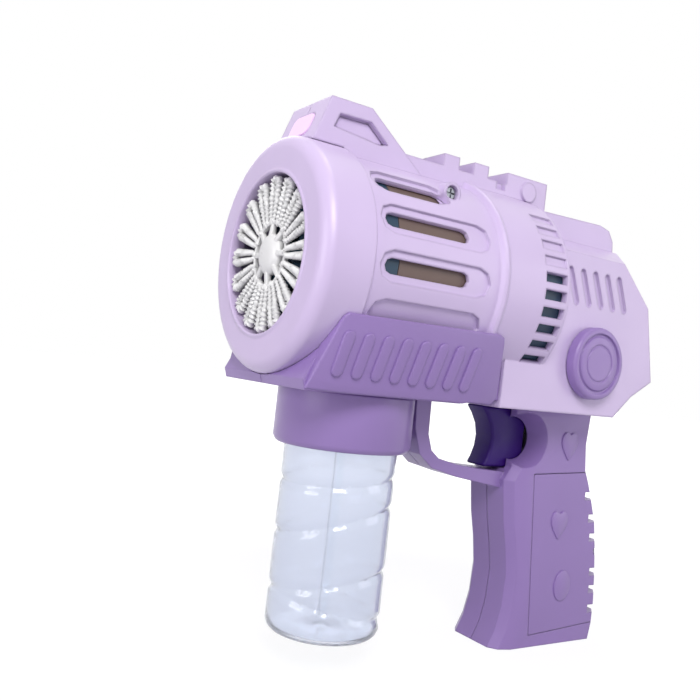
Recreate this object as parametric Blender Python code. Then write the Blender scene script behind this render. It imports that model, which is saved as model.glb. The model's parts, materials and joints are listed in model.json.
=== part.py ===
"""Bubble machine: a trigger-fired bubble blower with a ribbed bubble wheel, a motor
and fan, a tube pump, a screw-on bottle and three cells in its handle.

Gun frame: X runs from the mouth of the barrel to its rear, -Y is the battery door's
side, Z is up, and the barrel's axis is y = z = 0. An empty carries this frame so that
the handle's flat base stands on z = 0 and the object is centred on x = 0.
"""

from math import cos, pi, radians, sin, tan

import bmesh
import bpy
from mathutils import Matrix, Vector

MM = 0.001

# Fits shared by all pieces
SEAM = 0.3 * MM             # gap between two pieces that touch
RUNNING = 0.5 * MM          # gap round a piece that turns or slides
WALL = 2.2 * MM             # thickness of the moulded casings
BEYOND = 300.0 * MM         # reach of a cutter that passes the whole object

# Barrel
NOSE_RADIUS = 44.0 * MM
NOSE_LENGTH = 20.7 * MM
MOUTH_RADIUS = 29.8 * MM
BARREL_RADIUS = NOSE_RADIUS - 2.0 * MM
BAND_RADIUS = BARREL_RADIUS + 1.5 * MM
BAND_START = 83.0 * MM
BEAD_RADIUS = BARREL_RADIUS + 2.6 * MM
BEAD_WIDTH = 4.0 * MM
BARREL_END = 118.5 * MM
SPIGOT_LENGTH = 5.0 * MM

# Slots of the barrel, counted from the top one down
SLOT_COUNT = 4
SLOT_TOP_ANGLE = radians(44.6)
SLOT_PITCH = radians(23.6)
SLOT_WIDTH = 5.6 * MM
SLOT_START = 26.5 * MM
SLOT_LENGTH = 38.5 * MM
POD_WIDTH = 11.2 * MM
POD_START = 23.8 * MM
POD_LENGTH = 51.0 * MM
POD_DEPTH = 1.4 * MM

# Vents behind the band
VENT_COUNT = 10
VENT_CLOSED = 4
VENT_TOP_ANGLE = radians(44.5)
VENT_PITCH = radians(9.2)
VENT_HEIGHT = 4.0 * MM
VENT_START = 102.5 * MM
VENT_LENGTH = 12.0 * MM
VENT_DEPTH = 1.0 * MM

# Rear housing
HOUSING_HALF_WIDTH = 33.0 * MM
HOUSING_ROOF_HALF_WIDTH = 14.0 * MM
HOUSING_ROOF = 29.3 * MM
HOUSING_SIDE_TOP = 20.5 * MM
HOUSING_BOTTOM = -BAND_RADIUS - 4.1 * MM
HOUSING_FRONT = 94.5 * MM
HOUSING_REAR = 187.5 * MM
GROOVE_COUNT = 5
GROOVE_PITCH = 7.8 * MM
GROOVE_DEPTH = 1.0 * MM

# Top rail and lamp sight
RAIL_HALF_WIDTH = 13.6 * MM
RAIL_TOP = BARREL_RADIUS + 4.4 * MM
BLOCK_TOP = RAIL_TOP + 5.0 * MM
LOWER_RAIL_TOP = 39.6 * MM
SIGHT_HALF_WIDTH = 14.4 * MM
SIGHT_TOP = NOSE_RADIUS + 15.2 * MM
SIGHT_FRONT = 7.0 * MM
LAMP_WIDTH = 15.0 * MM
LAMP_HEIGHT = 9.0 * MM

# Cradle under the barrel, and the collar that takes the bottle
CRADLE_HALF_WIDTH = NOSE_RADIUS - 12.2 * MM
CRADLE_BOTTOM = -NOSE_RADIUS - 3.4 * MM
CRADLE_TOP = CRADLE_BOTTOM + 29.1 * MM
CRADLE_FRONT = 4.6 * MM
BOTTLE_X = 43.5 * MM
COLLAR_RADIUS = 27.2 * MM
COLLAR_BOTTOM = CRADLE_BOTTOM - 21.9 * MM

# Bottle
BOTTLE_RADIUS = 22.4 * MM
BOTTLE_BOTTOM = CRADLE_BOTTOM - 94.0 * MM
BOTTLE_WALL = 1.0 * MM
NECK_RADIUS = 16.5 * MM
NECK_TOP = CRADLE_BOTTOM - 5.1 * MM
SHOULDER = NECK_TOP - 9.0 * MM

# Handle
HANDLE_HALF_WIDTH = 16.0 * MM
HANDLE_TOP = HOUSING_BOTTOM - 0.4 * MM
HANDLE_BASE = HANDLE_TOP - 105.5 * MM
GUARD_HALF_WIDTH = 8.0 * MM
DOOR_TOP = HANDLE_TOP - 28.5 * MM
DOOR_HEIGHT = 71.0 * MM
DOOR_THICKNESS = 2.4 * MM
DOOR_SCREW_Z = DOOR_TOP - DOOR_HEIGHT / 2
CELL_RADIUS = 7.1 * MM
CELL_LENGTH = 50.5 * MM
CELL_LEAN = radians(6.0)

# Trigger
TRIGGER_HALF_WIDTH = 6.0 * MM
TRIGGER_TRAVEL = 5.0 * MM
SPRING_RADIUS = 2.6 * MM

# Round caps on the rear housing
CAP_X = 144.7 * MM
CAP_Z = -25.2 * MM
CAP_RADIUS = 15.5 * MM
CAP_HEIGHT = 5.0 * MM

# Bubble wheel and drive
WHEEL_RADIUS = 28.6 * MM
WHEEL_FRONT = 2.2 * MM
WHEEL_THICKNESS = 3.6 * MM
WHEEL_LOOPS = 16
GEAR_WIDTH = 4.0 * MM
PINION_TEETH = 8
IDLER_TEETH = 28
IDLER_PINION_TEETH = 10
WHEEL_GEAR_TEETH = 26
PUMP_GEAR_TEETH = 20
BACKLASH = 0.3 * MM
SHAFT_RADIUS = 1.5 * MM
BULKHEAD_X = 22.0 * MM
BULKHEAD_SKIRT = 11.8 * MM
DUCT_WALL = 1.4 * MM
DUCT_END = 81.5 * MM
MOTOR_RADIUS = 10.0 * MM
MOTOR_LENGTH = 25.0 * MM
MOTOR_SHAFT_RADIUS = 1.0 * MM
FAN_RADIUS = 30.0 * MM
FAN_BLADES = 7
TUBE_RADIUS = 2.0 * MM
LEAD_RADIUS = 0.8 * MM
SCREW_RADIUS = 1.5 * MM

# Places worked out from the sizes above
GEAR_X = BULKHEAD_X + 4.2 * MM
IDLER_X = GEAR_X + GEAR_WIDTH + RUNNING
PLATE_X = IDLER_X + GEAR_WIDTH + 1.6 * MM
PLATE_THICKNESS = 2.4 * MM
MOTOR_X = PLATE_X + PLATE_THICKNESS + SEAM
MOTOR_END = MOTOR_X + MOTOR_LENGTH
FAN_X = MOTOR_END + 5.0 * MM
FAN_LENGTH = 10.0 * MM
GEAR_MODULE = (BARREL_RADIUS - 7.5 * MM) / (WHEEL_GEAR_TEETH / 2 + PUMP_GEAR_TEETH + 1.5)
IDLER_DISTANCE = (PINION_TEETH + IDLER_TEETH) / 2 * GEAR_MODULE + BACKLASH
PUMP_DISTANCE = (WHEEL_GEAR_TEETH + PUMP_GEAR_TEETH) / 2 * GEAR_MODULE + BACKLASH
BARREL_BORE = BARREL_RADIUS - 3.0 * MM
PUMP_RADIUS = 11.2 * GEAR_MODULE
DUCT_RADIUS = BARREL_BORE - SEAM
BAND_BORE = BAND_RADIUS - 2.8 * MM
REAR_EDGE = 190.0 * MM
BOX_X = 156.0 * MM
BOX_Z = HANDLE_TOP - 65.0 * MM
TRIGGER_LOW = HANDLE_TOP - 27.0 * MM
TRIGGER_REAR = 138.0 * MM
POCKET_END = TRIGGER_REAR + TRIGGER_TRAVEL + 4.3 * MM
GRIP_SCREWS = [(169.6 * MM, HANDLE_TOP - 12.0 * MM), (150.0 * MM, HANDLE_BASE + 6.3 * MM)]
DUCT_SCREW = (62.0 * MM, -28.0 / 42.0 * BARREL_RADIUS, 31.9 / 42.0 * BARREL_RADIUS)
CRADLE_SCREW_X = 86.5 * MM
CRADLE_SCREW_Y = 14.0 * MM
LEAD_CHANNEL_Z = RAIL_TOP - 2.1 * MM
LEAD_DROP_X = 121.0 * MM
PUMP_Z = -PUMP_DISTANCE
FEED_Y = -13.5 * GEAR_MODULE
FEED_Z = -31.0 * GEAR_MODULE
PUMP_LOOP_RADIUS = PUMP_RADIUS - 3.8 * MM
BUSH_RADIUS = 3.2 * MM
LAMP_BOARD_X = 21.0 * MM
SPRING_Z = HANDLE_TOP - 21.5 * MM
SWITCH_Z = HANDLE_TOP - 10.5 * MM


def rgb(code):
    """Linear colour of an sRGB hex code."""
    parts = [int(code[i:i + 2], 16) / 255 for i in (1, 3, 5)]
    return [p / 12.92 if p <= 0.04045 else ((p + 0.055) / 1.055) ** 2.4 for p in parts] + [1.0]


def material(name, code, roughness, metallic=0.0, transmission=0.0):
    """A Principled material of one moulded or metal finish."""
    made = bpy.data.materials.new(name)
    made.use_nodes = True
    made.diffuse_color = rgb(code)
    shader = made.node_tree.nodes["Principled BSDF"]
    shader.inputs["Base Color"].default_value = rgb(code)
    shader.inputs["Roughness"].default_value = roughness
    shader.inputs["Metallic"].default_value = metallic
    shader.inputs["Transmission Weight"].default_value = transmission
    return made


# ---------------------------------------------------------------- modelling helpers

AXES = {"X": Vector((1, 0, 0)), "Y": Vector((0, 1, 0)), "Z": Vector((0, 0, 1))}


def turned(profile, axis="X", centre=(0, 0, 0), steps=36, start=0.0, sweep=2 * pi):
    """Spin (along, radius) points round an axis; a profile off the axis is a closed ring."""
    shape = bmesh.new()
    along = AXES[axis]
    out = AXES["Y"] if axis != "Y" else AXES["X"]
    out = Matrix.Rotation(start, 3, along) @ out
    points = [shape.verts.new(along * a + out * r) for a, r in profile]
    whole = abs(sweep - 2 * pi) < 1e-6
    ring = min(r for a, r in profile) > 1e-7
    edges = [shape.edges.new(pair) for pair in zip(points, points[1:])]
    if ring:
        edges.append(shape.edges.new((points[-1], points[0])))
    cap = [] if whole else [shape.faces.new(points)]
    spun = bmesh.ops.spin(shape, geom=points + edges + cap, axis=along, cent=(0, 0, 0),
                          angle=sweep, steps=steps, use_merge=whole, use_duplicate=False)
    bmesh.ops.remove_doubles(shape, verts=shape.verts, dist=1e-7)
    bmesh.ops.recalc_face_normals(shape, faces=shape.faces)
    bmesh.ops.translate(shape, vec=Vector(centre), verts=shape.verts)
    return shape


def prism(outline, low, high, axis="Y"):
    """Extrude a flat outline: (x, z) along Y, (y, z) along X or (x, y) along Z."""
    shape = bmesh.new()
    spots = {"Y": lambda u, v: (u, low, v), "X": lambda u, v: (low, u, v),
             "Z": lambda u, v: (u, v, low)}
    face = shape.faces.new([shape.verts.new(spots[axis](u, v)) for u, v in outline])
    grown = bmesh.ops.extrude_face_region(shape, geom=[face])
    moved = [e for e in grown["geom"] if isinstance(e, bmesh.types.BMVert)]
    bmesh.ops.translate(shape, vec=AXES[axis] * (high - low), verts=moved)
    bmesh.ops.recalc_face_normals(shape, faces=shape.faces)
    return shape


def loft(rings):
    """Skin rings of equally many points, with both ends closed."""
    shape = bmesh.new()
    rows = [[shape.verts.new(p) for p in ring] for ring in rings]
    count = len(rows[0])
    for near, far in zip(rows, rows[1:]):
        for i in range(count):
            j = (i + 1) % count
            shape.faces.new((near[i], near[j], far[j], far[i]))
    shape.faces.new(rows[0])
    shape.faces.new(rows[-1])
    bmesh.ops.recalc_face_normals(shape, faces=shape.faces)
    return shape


def block(x0, x1, y0, y1, z0, z1):
    """A box between two corners."""
    return prism([(x0, z0), (x1, z0), (x1, z1), (x0, z1)], y0, y1)


def disc(x, y, z, radius, length, axis="X", steps=16):
    """A solid cylinder from a point along an axis."""
    profile = [(0, 0), (0, radius), (length, radius), (length, 0)]
    return turned(profile, axis, (x, y, z), steps)


def stepped_hole(x, y, z, head_radius, head_depth, depth, axis="Y", flip=1):
    """Cutter for a screw: a counterbore from a point along an axis, then the thread's bore."""
    bore = SCREW_RADIUS + SEAM
    profile = [(0, 0), (0, head_radius), (head_depth, head_radius), (head_depth, bore),
               (depth, bore), (depth, 0)]
    return turned([(flip * a, r) for a, r in profile], axis, (x, y, z), 12)


def joined(*shapes):
    """Several closed shapes in one mesh, for cutters and for Boolean unions."""
    whole = bmesh.new()
    for shape in shapes:
        carrier = bpy.data.meshes.new("part")
        shape.to_mesh(carrier)
        shape.free()
        whole.from_mesh(carrier)
        bpy.data.meshes.remove(carrier)
    return whole


def rotated(shape, angle, axis="X", centre=(0, 0, 0)):
    """The shape turned about an axis through a point."""
    turn = Matrix.Rotation(angle, 3, AXES[axis])
    bmesh.ops.rotate(shape, cent=centre, matrix=turn, verts=shape.verts)
    return shape


def round_outline(points, radii, steps=4):
    """The outline with each corner rounded to its own radius."""
    rounded = []
    for i, (spot, radius) in enumerate(zip(points, radii)):
        here = Vector(spot)
        before = (Vector(points[i - 1]) - here)
        after = (Vector(points[(i + 1) % len(points)]) - here)
        if radius <= 0:
            rounded.append(spot)
            continue
        half = before.angle(after) / 2
        back = min(radius / tan(half), 0.49 * before.length, 0.49 * after.length)
        radius = back * tan(half)
        middle = here + (before.normalized() + after.normalized()).normalized() * radius / sin(half)
        first = here + before.normalized() * back - middle
        last = here + after.normalized() * back - middle
        for k in range(steps + 1):
            spoke = first.slerp(last, k / steps)
            rounded.append(tuple(middle + spoke * radius))
    return rounded


def stadium(length, width, steps=4):
    """A round-ended slot outline that starts at u = 0 and is centred on v = 0."""
    radius = width / 2
    right = [(length - radius + radius * cos(a), radius * sin(a))
             for a in (-pi / 2 + pi * k / steps for k in range(steps + 1))]
    left = [(radius + radius * cos(a), radius * sin(a))
            for a in (pi / 2 + pi * k / steps for k in range(steps + 1))]
    return right + left


def add(name, shape, finish, origin=(0, 0, 0), sharp=35):
    """Put a shape in the gun frame as a named object with its origin at a point."""
    mesh = bpy.data.meshes.new(name)
    bmesh.ops.translate(shape, vec=-Vector(origin), verts=shape.verts)
    shape.to_mesh(mesh)
    shape.free()
    mesh.shade_smooth()
    mesh.set_sharp_from_angle(angle=radians(sharp))
    mesh.materials.append(finish)
    made = bpy.data.objects.new(name, mesh)
    made.location = origin
    made.parent = gun
    bpy.context.collection.objects.link(made)
    return made


def change(piece, shape, operation="DIFFERENCE"):
    """Cut, join or keep a piece with a tool shape that stays as a hidden object."""
    tool = add(piece.name + "_tool", shape, finishes["tool"])
    tool.hide_render = True
    tool.display_type = "WIRE"
    step = piece.modifiers.new(operation.title(), "BOOLEAN")
    step.operation = operation
    step.solver = "EXACT"
    step.object = tool
    return piece


def mirrored(piece, name, finish):
    """The right-hand twin of a left-hand piece, across the y = 0 plane."""
    bpy.context.view_layer.update()
    seen = piece.evaluated_get(bpy.context.evaluated_depsgraph_get())
    shape = bmesh.new()
    shape.from_mesh(seen.to_mesh())
    seen.to_mesh_clear()
    bmesh.ops.translate(shape, vec=piece.location, verts=shape.verts)
    bmesh.ops.scale(shape, vec=(1, -1, 1), verts=shape.verts)
    bmesh.ops.reverse_faces(shape, faces=shape.faces)
    return add(name, shape, finish)


def tube(name, route, radius, finish, every=4.0 * MM):
    """A round hose along a smooth curve through the route's own points."""
    spots = [Vector(p) for p in route]
    ends = [2 * spots[0] - spots[1]] + spots + [2 * spots[-1] - spots[-2]]
    path = []
    for a, b, c, d in zip(ends, ends[1:], ends[2:], ends[3:]):
        count = max(2, round((c - b).length / every))
        for k in range(count):
            t = k / count
            path.append(0.5 * (2 * b + (c - a) * t + (2 * a - 5 * b + 4 * c - d) * t ** 2
                               + (3 * b - a - 3 * c + d) * t ** 3))
    path.append(spots[-1])
    curve = bpy.data.curves.new(name, "CURVE")
    curve.dimensions = "3D"
    curve.bevel_depth = radius
    curve.bevel_resolution = 2
    curve.use_fill_caps = True
    spline = curve.splines.new("POLY")
    spline.points.add(len(path) - 1)
    for point, spot in zip(spline.points, path):
        point.co = (*spot, 1)
    curve.materials.append(finish)
    made = bpy.data.objects.new(name, curve)
    made.parent = gun
    bpy.context.collection.objects.link(made)
    return made


# ---------------------------------------------------------------- casing

def nose_ring():
    """The lavender ring round the mouth, with a sleeve that the wheel turns in."""
    lip = MOUTH_RADIUS + 1.8 * MM
    inner = NOSE_RADIUS - 2.6 * MM
    profile = [(0.6 * MM, MOUTH_RADIUS), (0, MOUTH_RADIUS + 0.8 * MM),
               (0.3 * MM, NOSE_RADIUS - 5.5 * MM), (1.6 * MM, NOSE_RADIUS - 1.8 * MM),
               (3.2 * MM, NOSE_RADIUS - 0.5 * MM), (5.2 * MM, NOSE_RADIUS),
               (NOSE_LENGTH, NOSE_RADIUS), (NOSE_LENGTH, inner), (4.6 * MM, inner),
               (2.8 * MM, inner - 3.0 * MM), (2.6 * MM, lip), (6.2 * MM, lip),
               (6.2 * MM, MOUTH_RADIUS)]
    return add("nose_ring", turned(profile, steps=40), finishes["lavender"])


def housing_outline(half_width):
    """Side outline of the rear housing at one half width, flat side to roof."""
    share = (HOUSING_HALF_WIDTH - half_width) / (HOUSING_HALF_WIDTH - HOUSING_ROOF_HALF_WIDTH)
    top = HOUSING_SIDE_TOP + (HOUSING_ROOF - HOUSING_SIDE_TOP) * share
    rear = HOUSING_REAR
    return [(HOUSING_FRONT, HOUSING_BOTTOM), (rear - 24.2 * MM + 2.7 * MM * share, HOUSING_BOTTOM),
            (rear - 13.2 * MM + 2.6 * MM * share, HOUSING_BOTTOM + 9.9 * MM),
            (rear + 1.5 * MM * share, HOUSING_BOTTOM + 17.6 * MM),
            (rear - 7.3 * MM + 7.8 * MM * share, HOUSING_SIDE_TOP - 17.4 * MM),
            (rear - 26.5 * MM + 16.7 * MM * share, top), (HOUSING_FRONT, top)]


def housing_solid(shrink=0.0):
    """The rear housing's outer form, or its cavity when shrunk by a wall."""
    rings = []
    wide = HOUSING_HALF_WIDTH
    for side in (-wide, -HOUSING_ROOF_HALF_WIDTH, HOUSING_ROOF_HALF_WIDTH, wide):
        outline = housing_outline(abs(side))
        if shrink:
            middle_x = (HOUSING_FRONT + HOUSING_REAR) / 2
            middle_z = (HOUSING_BOTTOM + HOUSING_SIDE_TOP) / 2
            outline = [(x - (shrink if x > middle_x else -shrink),
                        z - (shrink if z > middle_z else -shrink)) for x, z in outline]
        depth = side - shrink * (side / abs(side)) if abs(side) == wide else side
        rings.append([(x, depth, z) for x, z in outline])
    return loft(rings)


def rail_outline():
    """Side outline of the top rail with its three blocks."""
    blocks = [(68.8, 76.8), (84.9, 92.8), (103.8, 127.5)]
    foot = HOUSING_ROOF - 5.0 * MM
    outline = [(46.0 * MM, foot), (46.0 * MM, RAIL_TOP)]
    for first, last in blocks:
        outline += [(first * MM, RAIL_TOP), (first * MM, BLOCK_TOP),
                    (last * MM, BLOCK_TOP)]
        if last < 120:
            outline.append((last * MM, RAIL_TOP))
    outline += [(127.5 * MM, LOWER_RAIL_TOP), (165.0 * MM, LOWER_RAIL_TOP + 0.8 * MM),
                (171.5 * MM, LOWER_RAIL_TOP - 0.8 * MM), (174.8 * MM, LOWER_RAIL_TOP - 5.5 * MM),
                (175.4 * MM, HOUSING_ROOF - 1.5 * MM), (172.0 * MM, foot)]
    return outline


def sight_outline(foot=NOSE_RADIUS - 7.0 * MM, shrink=0.0):
    """Side outline of the lamp sight above a height, or of its hollow when shrunk by a wall."""
    def leaning(x, slope):
        return x + slope * (foot - SIGHT_TOP)

    front, rear = SIGHT_FRONT + 6.7 * MM + shrink, SIGHT_FRONT + 24.6 * MM - 0.6 * shrink
    return [(leaning(front, 0.366), foot), (front - 0.4 * shrink, SIGHT_TOP - shrink),
            (rear, SIGHT_TOP - shrink), (leaning(rear - 0.6 * shrink, -1.325), foot)]


def barrel_tools(half):
    """Everything that is cut from the left half of the barrel and housing."""
    pods, slots = [], []
    for k in range(SLOT_COUNT):
        angle = SLOT_TOP_ANGLE - SLOT_PITCH * k
        length = POD_LENGTH if k else POD_LENGTH * 0.68
        pods.append((angle, stadium(length, POD_WIDTH), POD_START,
                     BARREL_RADIUS - POD_DEPTH))
        if k < SLOT_COUNT - 1:
            span = SLOT_LENGTH if k else SLOT_LENGTH * 0.8
            slots.append((angle, stadium(span, SLOT_WIDTH), SLOT_START, BARREL_BORE - 1 * MM))
    shapes = []
    for angle, outline, start, floor in pods + slots:
        shape = prism([(u + start, v) for u, v in outline], floor, BARREL_RADIUS + 4 * MM, "Z")
        shapes.append(rotated(shape, pi / 2 - angle))
    change(half, joined(*shapes[:SLOT_COUNT]))
    change(half, joined(*shapes[SLOT_COUNT:]))
    vents = []
    for k in range(VENT_COUNT):
        floor = BAND_RADIUS - VENT_DEPTH if k < VENT_CLOSED else BAND_BORE - 1 * MM
        shape = block(VENT_START, VENT_START + VENT_LENGTH, -VENT_HEIGHT / 2, VENT_HEIGHT / 2,
                      floor, BAND_RADIUS + 4 * MM)
        vents.append(rotated(shape, pi / 2 - VENT_TOP_ANGLE + VENT_PITCH * k))
    change(half, joined(*vents))
    grooves = []
    for k in range(GROOVE_COUNT):
        outline = stadium(17.0 * MM, 2.2 * MM, 2)
        shape = prism(outline, -HOUSING_HALF_WIDTH - 2 * MM, -HOUSING_HALF_WIDTH + GROOVE_DEPTH)
        rotated(shape, radians(67), "Y")
        spot = (126.3 * MM + GROOVE_PITCH * k, 0, HOUSING_SIDE_TOP - 6.2 * MM)
        bmesh.ops.translate(shape, vec=spot, verts=shape.verts)
        grooves.append(shape)
    change(half, joined(*grooves))


def body_halves():
    """The lavender body: slotted barrel, band, vents, rear housing, rail and sight."""
    bead = BEAD_WIDTH / 2
    front = NOSE_LENGTH + SEAM
    spigot = NOSE_RADIUS - 2.6 * MM - SEAM
    profile = [(NOSE_LENGTH - SPIGOT_LENGTH, 0), (NOSE_LENGTH - SPIGOT_LENGTH, spigot),
               (front, spigot), (front, BARREL_RADIUS), (BAND_START - BEAD_WIDTH, BARREL_RADIUS),
               (BAND_START - 1.5 * bead, BEAD_RADIUS - 0.5 * MM), (BAND_START - bead, BEAD_RADIUS),
               (BAND_START - 0.5 * bead, BEAD_RADIUS - 0.4 * MM), (BAND_START, BAND_RADIUS),
               (BARREL_END - 2.5 * MM, BAND_RADIUS), (BARREL_END, BAND_RADIUS - 2.5 * MM),
               (BARREL_END, 0)]
    left = add("body_left", turned(profile, steps=40), finishes["lavender"])
    change(left, housing_solid(), "UNION")
    change(left, prism(rail_outline(), -RAIL_HALF_WIDTH, RAIL_HALF_WIDTH), "UNION")
    change(left, prism(sight_outline(), -SIGHT_HALF_WIDTH, SIGHT_HALF_WIDTH), "UNION")
    x, y, z = DUCT_SCREW
    boss = disc(x, y - 1.2 * MM, z, 4.2 * MM, 6.4 * MM, "Y")
    relief = disc(116.4 * MM, -RAIL_HALF_WIDTH - 0.9 * MM, RAIL_TOP - 1 * MM, 4.3 * MM, 3 * MM, "Y")
    change(left, joined(boss, relief), "UNION")
    # Room for the nose ring in front, then the cavities, with facets between the barrel's own
    ring_seat = NOSE_LENGTH + 0.2 * MM
    mouth = NOSE_LENGTH - SPIGOT_LENGTH + 0.1 * MM
    room = [(-2 * MM, 0), (-2 * MM, NOSE_RADIUS + SEAM), (ring_seat, NOSE_RADIUS + SEAM),
            (ring_seat, spigot + 0.05 * MM), (mouth, spigot + 0.05 * MM), (mouth, BARREL_BORE),
            (BAND_START - 1 * MM, BARREL_BORE), (BAND_START + 1 * MM, BAND_BORE),
            (BARREL_END - WALL - 0.1 * MM, BAND_BORE), (BARREL_END - WALL, 0)]
    change(left, turned(room, steps=36, start=radians(0.7)))
    change(left, housing_solid(WALL))
    inner_sight = SIGHT_HALF_WIDTH - WALL
    lamp_hole = prism(round_outline([(-LAMP_WIDTH / 2, SIGHT_TOP - 5 * MM - LAMP_HEIGHT),
                                     (LAMP_WIDTH / 2, SIGHT_TOP - 5 * MM - LAMP_HEIGHT),
                                     (LAMP_WIDTH / 2, SIGHT_TOP - 5 * MM),
                                     (-LAMP_WIDTH / 2, SIGHT_TOP - 5 * MM)], [3 * MM] * 4),
                      -2 * MM, SIGHT_FRONT + 16 * MM, "X")
    hollow = prism(sight_outline(NOSE_RADIUS + WALL, WALL), -inner_sight, inner_sight)
    change(left, hollow)
    change(left, lamp_hole)
    pocket = [(17.9, -5.5), (31.8, -5.2), (40.4, -12.0), (36.5, -12.9), (15.8, -10.8)]
    change(left, prism([(x * MM, SIGHT_TOP + z * MM) for x, z in pocket], -SIGHT_HALF_WIDTH - 1 * MM,
                       -SIGHT_HALF_WIDTH + 1.3 * MM))
    change(left, block(98.0 * MM, 103.0 * MM, -RAIL_HALF_WIDTH - 1 * MM,
                       -RAIL_HALF_WIDTH + 2.5 * MM, RAIL_TOP - 3 * MM, RAIL_TOP + 1 * MM))
    barrel_tools(left)
    # Way down for the intake tube, and the passage for the cables into the handle
    change(left, disc(BOTTLE_X, 0, -BARREL_RADIUS - 3 * MM, 5.8 * MM, 8 * MM, "Z"))
    change(left, block(POCKET_END + 4 * MM, POCKET_END + 17 * MM, -8 * MM, 8 * MM,
                       HOUSING_BOTTOM - 2 * MM, HOUSING_BOTTOM + WALL + 2 * MM))
    change(left, disc(CRADLE_SCREW_X, -CRADLE_SCREW_Y, CRADLE_BOTTOM, SCREW_RADIUS + SEAM,
                      15 * MM, "Z", 12))
    lamp_lead_way(left)
    change(left, block(-BEYOND, BEYOND, -BEYOND, -SEAM / 2, -BEYOND, BEYOND), "INTERSECT")
    wide = HOUSING_HALF_WIDTH
    post = disc(CAP_X, -wide + 1 * MM, CAP_Z, 5.2 * MM, wide - 1 * MM - SEAM / 2, "Y")
    change(left, post, "UNION")
    change(left, joined(stepped_hole(CAP_X, -wide - 1 * MM, CAP_Z, 3.3 * MM, 10 * MM, wide + 2 * MM),
                        stepped_hole(x, y - 2 * MM, z, 2.9 * MM, 3.9 * MM, 11 * MM)))
    mirrored(left, "body_right", finishes["lavender"])


def lamp_lead_way(half):
    """Channel in the seam under the top rail for the lamp's leads."""
    side = LEAD_RADIUS + SEAM + 0.5 * MM
    low = LEAD_CHANNEL_Z - side
    change(half, block(24 * MM, LEAD_DROP_X + side, -side, side, low, LEAD_CHANNEL_Z + side))
    change(half, block(24 * MM, 34 * MM, -side, side, LEAD_CHANNEL_Z, NOSE_RADIUS + 6 * MM))
    change(half, block(LEAD_DROP_X - side, LEAD_DROP_X + side, -side, side,
                       HOUSING_ROOF - 6 * MM, LEAD_CHANNEL_Z))


def side_caps():
    """Round purple caps over the ends of the housing's cross screw boss."""
    rim = CAP_RADIUS - 2.6 * MM
    for name, side in (("side_cap_left", -1), ("side_cap_right", 1)):
        base = side * (HOUSING_HALF_WIDTH + SEAM)
        profile = [(0, 0), (0, CAP_RADIUS), (3.6 * MM, CAP_RADIUS), (CAP_HEIGHT, CAP_RADIUS - 1.4 * MM),
                   (CAP_HEIGHT, rim), (CAP_HEIGHT - 1 * MM, rim - 0.4 * MM),
                   (CAP_HEIGHT - 1 * MM, rim - 1.2 * MM), (CAP_HEIGHT - 0.2 * MM, rim - 1.6 * MM),
                   (CAP_HEIGHT - 0.2 * MM, 0)]
        stem = [(-6 * MM, 0), (-6 * MM, 3 * MM), (1 * MM, 3 * MM), (1 * MM, 0)]
        shape = turned([(side * a, r) for a, r in profile], "Y", (CAP_X, base, CAP_Z), 24)
        cap = add(name, shape, finishes["purple"])
        change(cap, turned([(side * a, r) for a, r in stem], "Y", (CAP_X, base, CAP_Z), 10),
               "UNION")


def cradle_outline(grow=0.0):
    """Side outline of the cradle."""
    top, low, front = CRADLE_TOP, CRADLE_BOTTOM, CRADLE_FRONT
    rear = HOUSING_FRONT - SEAM
    return [(front + 1.0 * MM + grow, low + grow), (front + 70.0 * MM, low + grow),
            (front + 74.0 * MM, low + 2.6 * MM + grow), (rear - grow, low + 2.6 * MM + grow),
            (rear - grow, low + 6.0 * MM), (rear - grow, top - 1.5 * MM),
            (rear - 2.5 * MM - grow, top - grow), (front + 13.8 * MM + grow, top - grow),
            (front + 10.6 * MM + grow, top - 4.2 * MM), (front + grow, low + 3.6 * MM)]


def cradle_halves():
    """The purple trough that wraps the underside of the barrel."""
    left = add("cradle_left", prism(cradle_outline(), -CRADLE_HALF_WIDTH, CRADLE_HALF_WIDTH),
               finishes["purple"])
    clear = SEAM
    barrel = [(-5 * MM, 0), (-5 * MM, NOSE_RADIUS + clear), (NOSE_LENGTH + SEAM, NOSE_RADIUS + clear),
              (NOSE_LENGTH + SEAM, BARREL_RADIUS + clear),
              (BAND_START - BEAD_WIDTH - SEAM, BARREL_RADIUS + clear),
              (BAND_START - BEAD_WIDTH, BEAD_RADIUS + clear), (BARREL_END, BEAD_RADIUS + clear),
              (BARREL_END, 0)]
    change(left, turned(barrel, steps=40))
    change(left, disc(BOTTLE_X, 0, CRADLE_BOTTOM - 5 * MM, 4 * MM, 20 * MM, "Z"))
    change(left, block(-BEYOND, BEYOND, -BEYOND, -SEAM / 2, -BEYOND, BEYOND), "INTERSECT")
    change(left, stepped_hole(CRADLE_SCREW_X, -CRADLE_SCREW_Y, CRADLE_BOTTOM - 1 * MM,
                              2 * SCREW_RADIUS + SEAM, 5.4 * MM, 20 * MM, "Z"))
    mirrored(left, "cradle_right", finishes["purple"])


def bottle_collar():
    """The skirt round the bottle's neck, with the threaded socket inside it."""
    top = CRADLE_BOTTOM - SEAM
    socket = NECK_RADIUS + RUNNING
    inner = COLLAR_RADIUS - WALL
    profile = [(top, TUBE_RADIUS + SEAM), (top, COLLAR_RADIUS), (COLLAR_BOTTOM + 1.5 * MM, COLLAR_RADIUS),
               (COLLAR_BOTTOM, COLLAR_RADIUS - 1.2 * MM), (COLLAR_BOTTOM, inner),
               (top - WALL, inner), (top - WALL, socket + 2 * MM),
               (SHOULDER + 1.2 * MM, socket + 2 * MM), (SHOULDER + 1.2 * MM, socket),
               (top - WALL, socket), (top - WALL, TUBE_RADIUS + SEAM)]
    add("bottle_collar", turned(profile, "Z", (BOTTLE_X, 0, 0), 32), finishes["purple"])


# ---------------------------------------------------------------- handle

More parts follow.
